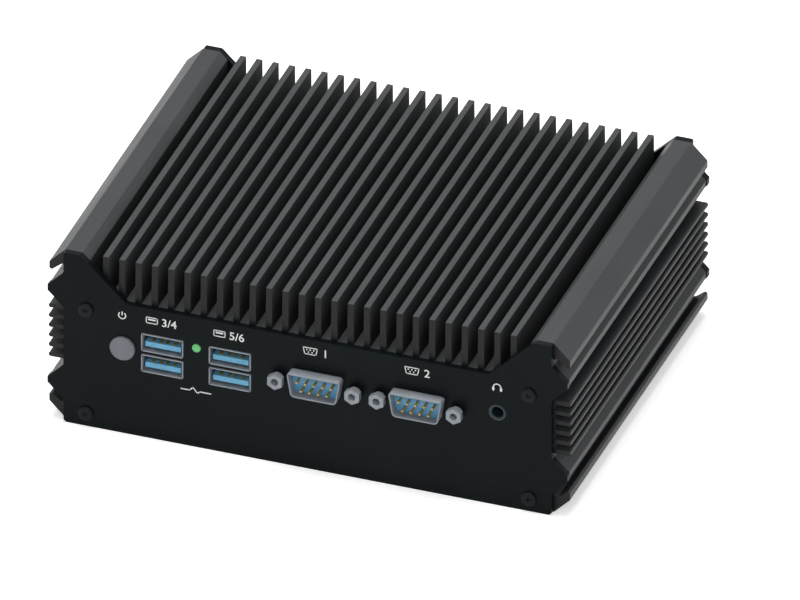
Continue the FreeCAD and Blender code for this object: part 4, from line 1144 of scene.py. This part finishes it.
# %% Model the blades of the video sockets
BLADE_W = 0.3 * MM
BLADE_T = 0.08 * MM
BLADE_L = 4.5 * MM
BLADE_TIP = 0.03 * MM
BLADE_PITCH = 1.0 * MM
BLADE_ROWS = ((10, 1), (9, -1))
TONGUE_DOWN = 3.4 * MM
TONGUE_T = 1.1 * MM
TIP_BACK = 0.3 * MM

for letter in ("a", "b"):
    tongue_x = middle("video_tongue_" + letter).x
    tongue_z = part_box("video_shell_" + letter)[1].z - TONGUE_DOWN
    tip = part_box("video_tongue_" + letter)[1].y - TIP_BACK
    blades = []
    for count, side in BLADE_ROWS:
        level = tongue_z + side * TONGUE_T / 2
        blade = block(-BLADE_W / 2, BLADE_W / 2, tip - BLADE_L, tip,
                      level - BLADE_T / 2, level + BLADE_T / 2)
        bevel_rim(tip, BLADE_TIP, 2)
        blades += [copied(blade, (tongue_x + (i - (count - 1) / 2) * BLADE_PITCH, 0, 0))
                   for i in range(count)]
        bpy.data.objects.remove(blade)
    settle(joined(blades), "video_contacts_" + letter, gold)
    print("video socket", letter, "has", len(blades), "blades")

# %% [markdown]
# ## Printed marks
#
# The sockets are numbered and marked with small pictograms, which are read in any language. Each
# mark is drawn flat on the bench, X to the right and Y up, in millimetres. It is as thick as a
# real layer of ink, and only when it is whole is it stood up and laid on its panel.

# %% Write the drawing helpers
INK = 0.03 * MM
INK_SHOWN = 0.02 * MM
CAP = 2.7
CAP_SHARE = 0.69
FIGURE_WEIGHT = 0.04 * MM
STROKE = 0.38
STROKE_ROUND = 0.48
ARC_STEP = 0.2


def figures(words, x):
    """Figures that stand on the base line, centred on x."""
    alone()
    bpy.ops.object.text_add()
    text = bpy.context.object
    text.data.body = words
    text.data.size = CAP * MM / CAP_SHARE
    text.data.align_x = "CENTER"
    text.data.extrude = INK / 2
    text.data.offset = FIGURE_WEIGHT
    bpy.ops.object.convert(target="MESH")
    text = bpy.context.object
    text.location = (x * MM, 0, 0)
    write_place()
    return text


def stroke(x0, y0, x1, y1, width=STROKE):
    """A straight stroke with round ends."""
    length = math.hypot(x1 - x0, y1 - y0) + width
    piece = start(bpy.ops.mesh.primitive_cube_add, size=1, scale=(length * MM, width * MM, INK),
                  location=((x0 + x1) / 2 * MM, (y0 + y1) / 2 * MM, 0),
                  rotation=(0, 0, math.atan2(y1 - y0, x1 - x0)))
    pick("EDGE", lambda edge: abs(edge.verts[0].co.z - edge.verts[1].co.z) > INK / 2)
    bevel(STROKE_ROUND * width * MM, 3)
    return piece


def path(*points, width=STROKE):
    """Strokes from point to point."""
    return [stroke(*a, *b, width) for a, b in zip(points, points[1:])]


def outline(x, half_low, half_high, low, high):
    """A thin closed line round a sign whose foot and top may differ in width."""
    return path((x - half_low, low), (x - half_high, high), (x + half_high, high),
                (x + half_low, low), (x - half_low, low), width=0.32)


def arc(radius, begin, end, y):
    """A part of a ring: a small upright face swung about the ring's centre, angles in degrees."""
    begin, end = math.radians(begin), math.radians(end)
    centre = (radius * math.cos(begin) * MM, (y + radius * math.sin(begin)) * MM, 0)
    piece = start(bpy.ops.mesh.primitive_plane_add, size=1, location=centre,
                  rotation=(math.pi / 2, 0, begin))
    bpy.ops.mesh.select_all(action="SELECT")
    bpy.ops.transform.resize(value=(STROKE * MM, STROKE * MM, INK), center_override=centre)
    bpy.ops.mesh.spin(steps=max(4, round(abs(end - begin) / ARC_STEP)), angle=begin - end,
                      center=(0, y * MM, 0), axis=(0, 0, 1))
    bpy.ops.mesh.select_all(action="SELECT")
    bpy.ops.mesh.normals_make_consistent(inside=False)
    return piece


def dot(x, y, radius):
    """A round spot."""
    piece = start(bpy.ops.mesh.primitive_cylinder_add, vertices=20, radius=radius * MM, depth=INK,
                  location=(x * MM, y * MM, 0))
    pick("FACE", lambda face: face.normal.z > 0.9)
    bpy.ops.mesh.inset(thickness=0.02 * MM)
    return piece


def printed(name, parts, x, z, on_rear=False):
    """Stands a drawing up and lays it on a panel, its origin at x and z."""
    mark = joined(parts)
    mark.rotation_euler = (math.pi / 2, 0, math.pi if on_rear else 0)
    level = rear + INK_SHOWN - INK / 2 if on_rear else front - INK_SHOWN + INK / 2
    mark.location = (x * MM, level, z * MM)
    write_place()
    return settle(mark, name, ink)


print("drawing helpers are ready, the ink is", round(INK / MM, 3), "mm thick")

# %% [markdown]
# ## Marks on the front
#
# The button has the usual sign for on and off. The flat and the serial sockets have a small
# outline of their plug and their numbers, the audio socket has headphones, and a pulse stands for
# the light.

# %% Print the front
FRONT_LINE = 40.9
STATUS_LINE = 19.1


def connector_sign(x):
    """The outline of a serial connector with its contacts."""
    contacts = [(-1.15, 1.75), (0, 1.75), (1.15, 1.75), (-0.6, 0.95), (0.6, 0.95)]
    return outline(x, 1.8, 2.3, 0.2, 2.5) + [dot(x + dx, y, 0.24) for dx, y in contacts]


def plug_sign(x):
    """The end of a flat plug, a frame with the bar of its contacts."""
    return outline(x, 1.8, 1.8, 0.35, 2.35) + [stroke(x - 1.0, 1.6, x + 1.0, 1.6, 0.55)]


# Name, pieces, and the place of the drawing's origin on the panel, in millimetres.
FRONT_MARKS = [
    ("mark_power", [arc(1.15, 128, 412, 1.2), stroke(0, 1.35, 0, 2.5)], -60.0, FRONT_LINE),
    ("mark_usb_left", plug_sign(-3.4) + [figures("3/4", 2.2)], -47.0, FRONT_LINE),
    ("mark_usb_right", plug_sign(-3.4) + [figures("5/6", 2.2)], -25.1, FRONT_LINE),
    ("mark_serial_1", connector_sign(-1.7) + [figures("1", 3.2)], 2.6, FRONT_LINE),
    ("mark_serial_2", connector_sign(-1.7) + [figures("2", 3.2)], 35.5, FRONT_LINE),
    ("mark_audio", [arc(1.25, 0, 180, 1.25)]
     + [stroke(x, 1.1, x, 0.4, 0.75) for x in (-1.25, 1.25)], 61.4, FRONT_LINE),
    ("mark_status", path((-4.8, 0.9), (-2.0, 0.9), (-1.0, 2.1), (0.5, 0.2), (1.2, 0.9),
                         (4.8, 0.9)), -36.1, STATUS_LINE),
]
for mark in FRONT_MARKS:
    printed(*mark)
print(len(FRONT_MARKS), "marks on the front")

# %% [markdown]
# ## Marks on the rear
#
# The rear has a tree of three boxes for a network, a screen for video, and at the power inlet the
# sign that tells which pole is inside. They are seen from behind, so they are turned round.

# %% Print the rear
REAR_LINE = 41.0


def network_sign(x):
    """Three boxes joined by lines."""
    lines = path((x, 1.9), (x, 1.2), width=0.28)
    lines += path((x - 1.2, 0.6), (x - 1.2, 1.2), (x + 1.2, 1.2), (x + 1.2, 0.6), width=0.28)
    return lines + [stroke(x + dx - 0.12, y, x + dx + 0.12, y, 0.75)
                    for dx, y in ((0, 2.2), (-1.2, 0.4), (1.2, 0.4))]


def screen_sign(x):
    """A screen on its foot."""
    foot = [stroke(x, 0.9, x, 0.2, 0.5), stroke(x - 0.8, 0.15, x + 0.8, 0.15, 0.3)]
    return outline(x, 1.6, 1.6, 0.9, 2.5) + foot


def pole_sign():
    """A pin in its ring, with a line to each, and the signs of plus and minus."""
    lines = [(0, 1.3, 2.9, 1.3, 0.25), (-2.9, 1.3, -1.2, 1.3, 0.25)]
    signs = [(3.5, 1.3, 4.7, 1.3, 0.3), (4.1, 0.7, 4.1, 1.9, 0.3), (-4.7, 1.3, -3.5, 1.3, 0.3)]
    return [arc(1.2, 40, 320, 1.3), dot(0, 1.3, 0.4)] + [stroke(*line) for line in lines + signs]


# Name, pieces, and the node that the mark stands above.
REAR_MARKS = [
    ("mark_network_1", network_sign(-1.5) + [figures("1", 2.0)], "lan_shell_1"),
    ("mark_network_2", network_sign(-1.5) + [figures("2", 2.0)], "lan_shell_2"),
    ("mark_video_1", screen_sign(-1.6) + [figures("1", 2.2)], "video_shell_a"),
    ("mark_video_2", screen_sign(-1.6) + [figures("2", 2.2)], "video_shell_b"),
    ("mark_usb_rear", plug_sign(-3.0) + [figures("1/2", 2.0)], "usb_shell_rear"),
    ("mark_polarity", pole_sign(), "dc_jack"),
]
for name, parts, node_name in REAR_MARKS:
    printed(name, parts, middle(node_name).x / MM, REAR_LINE, on_rear=True)
print(len(REAR_MARKS), "marks on the rear")

# %% [markdown]
# ## Dress the frame
#
# Each part of the frame that stays in view gets its finish by its name. The parts inside the
# closed case get theirs as well, because someone may lift the cover off and look. The parts that a
# modelled piece stands for are hidden, and need none.

# %% Give the frame's parts their finishes
dress(nickel, "lan_shell_1", "lan_shell_2", "video_shell_a", "video_shell_b", "board_spacers",
      "drive_standoff")
dress(gold, "lan_contacts_1", "lan_contacts_2", "dc_jack_pin")
dress(zinc, "board_screws", "drive_screw")
dress(bare, "processor", "coin_cell")
dress(can, "capacitors")
for side in USB_SIDES:
    dress(gold, "usb_contacts_" + side)
    dress(blue_pbt, "usb_insulator_" + side)
dress(serial_pbt, "serial_insulator_1", "serial_insulator_2")
dress(black_pbt, "lan_insert_1", "lan_insert_2", "video_tongue_a", "video_tongue_b", "dc_jack",
      "memory_socket", "drive_socket", "cell_holder", "switch_housing", "switch_plunger",
      "led_holder")
dress(resin, "interface_chips")
dress(ferrite, "power_inductors")
dress(silicone, "thermal_pad")
dress(resist, "mainboard", "memory_module", "solid_state_drive")
print("the frame is dressed")
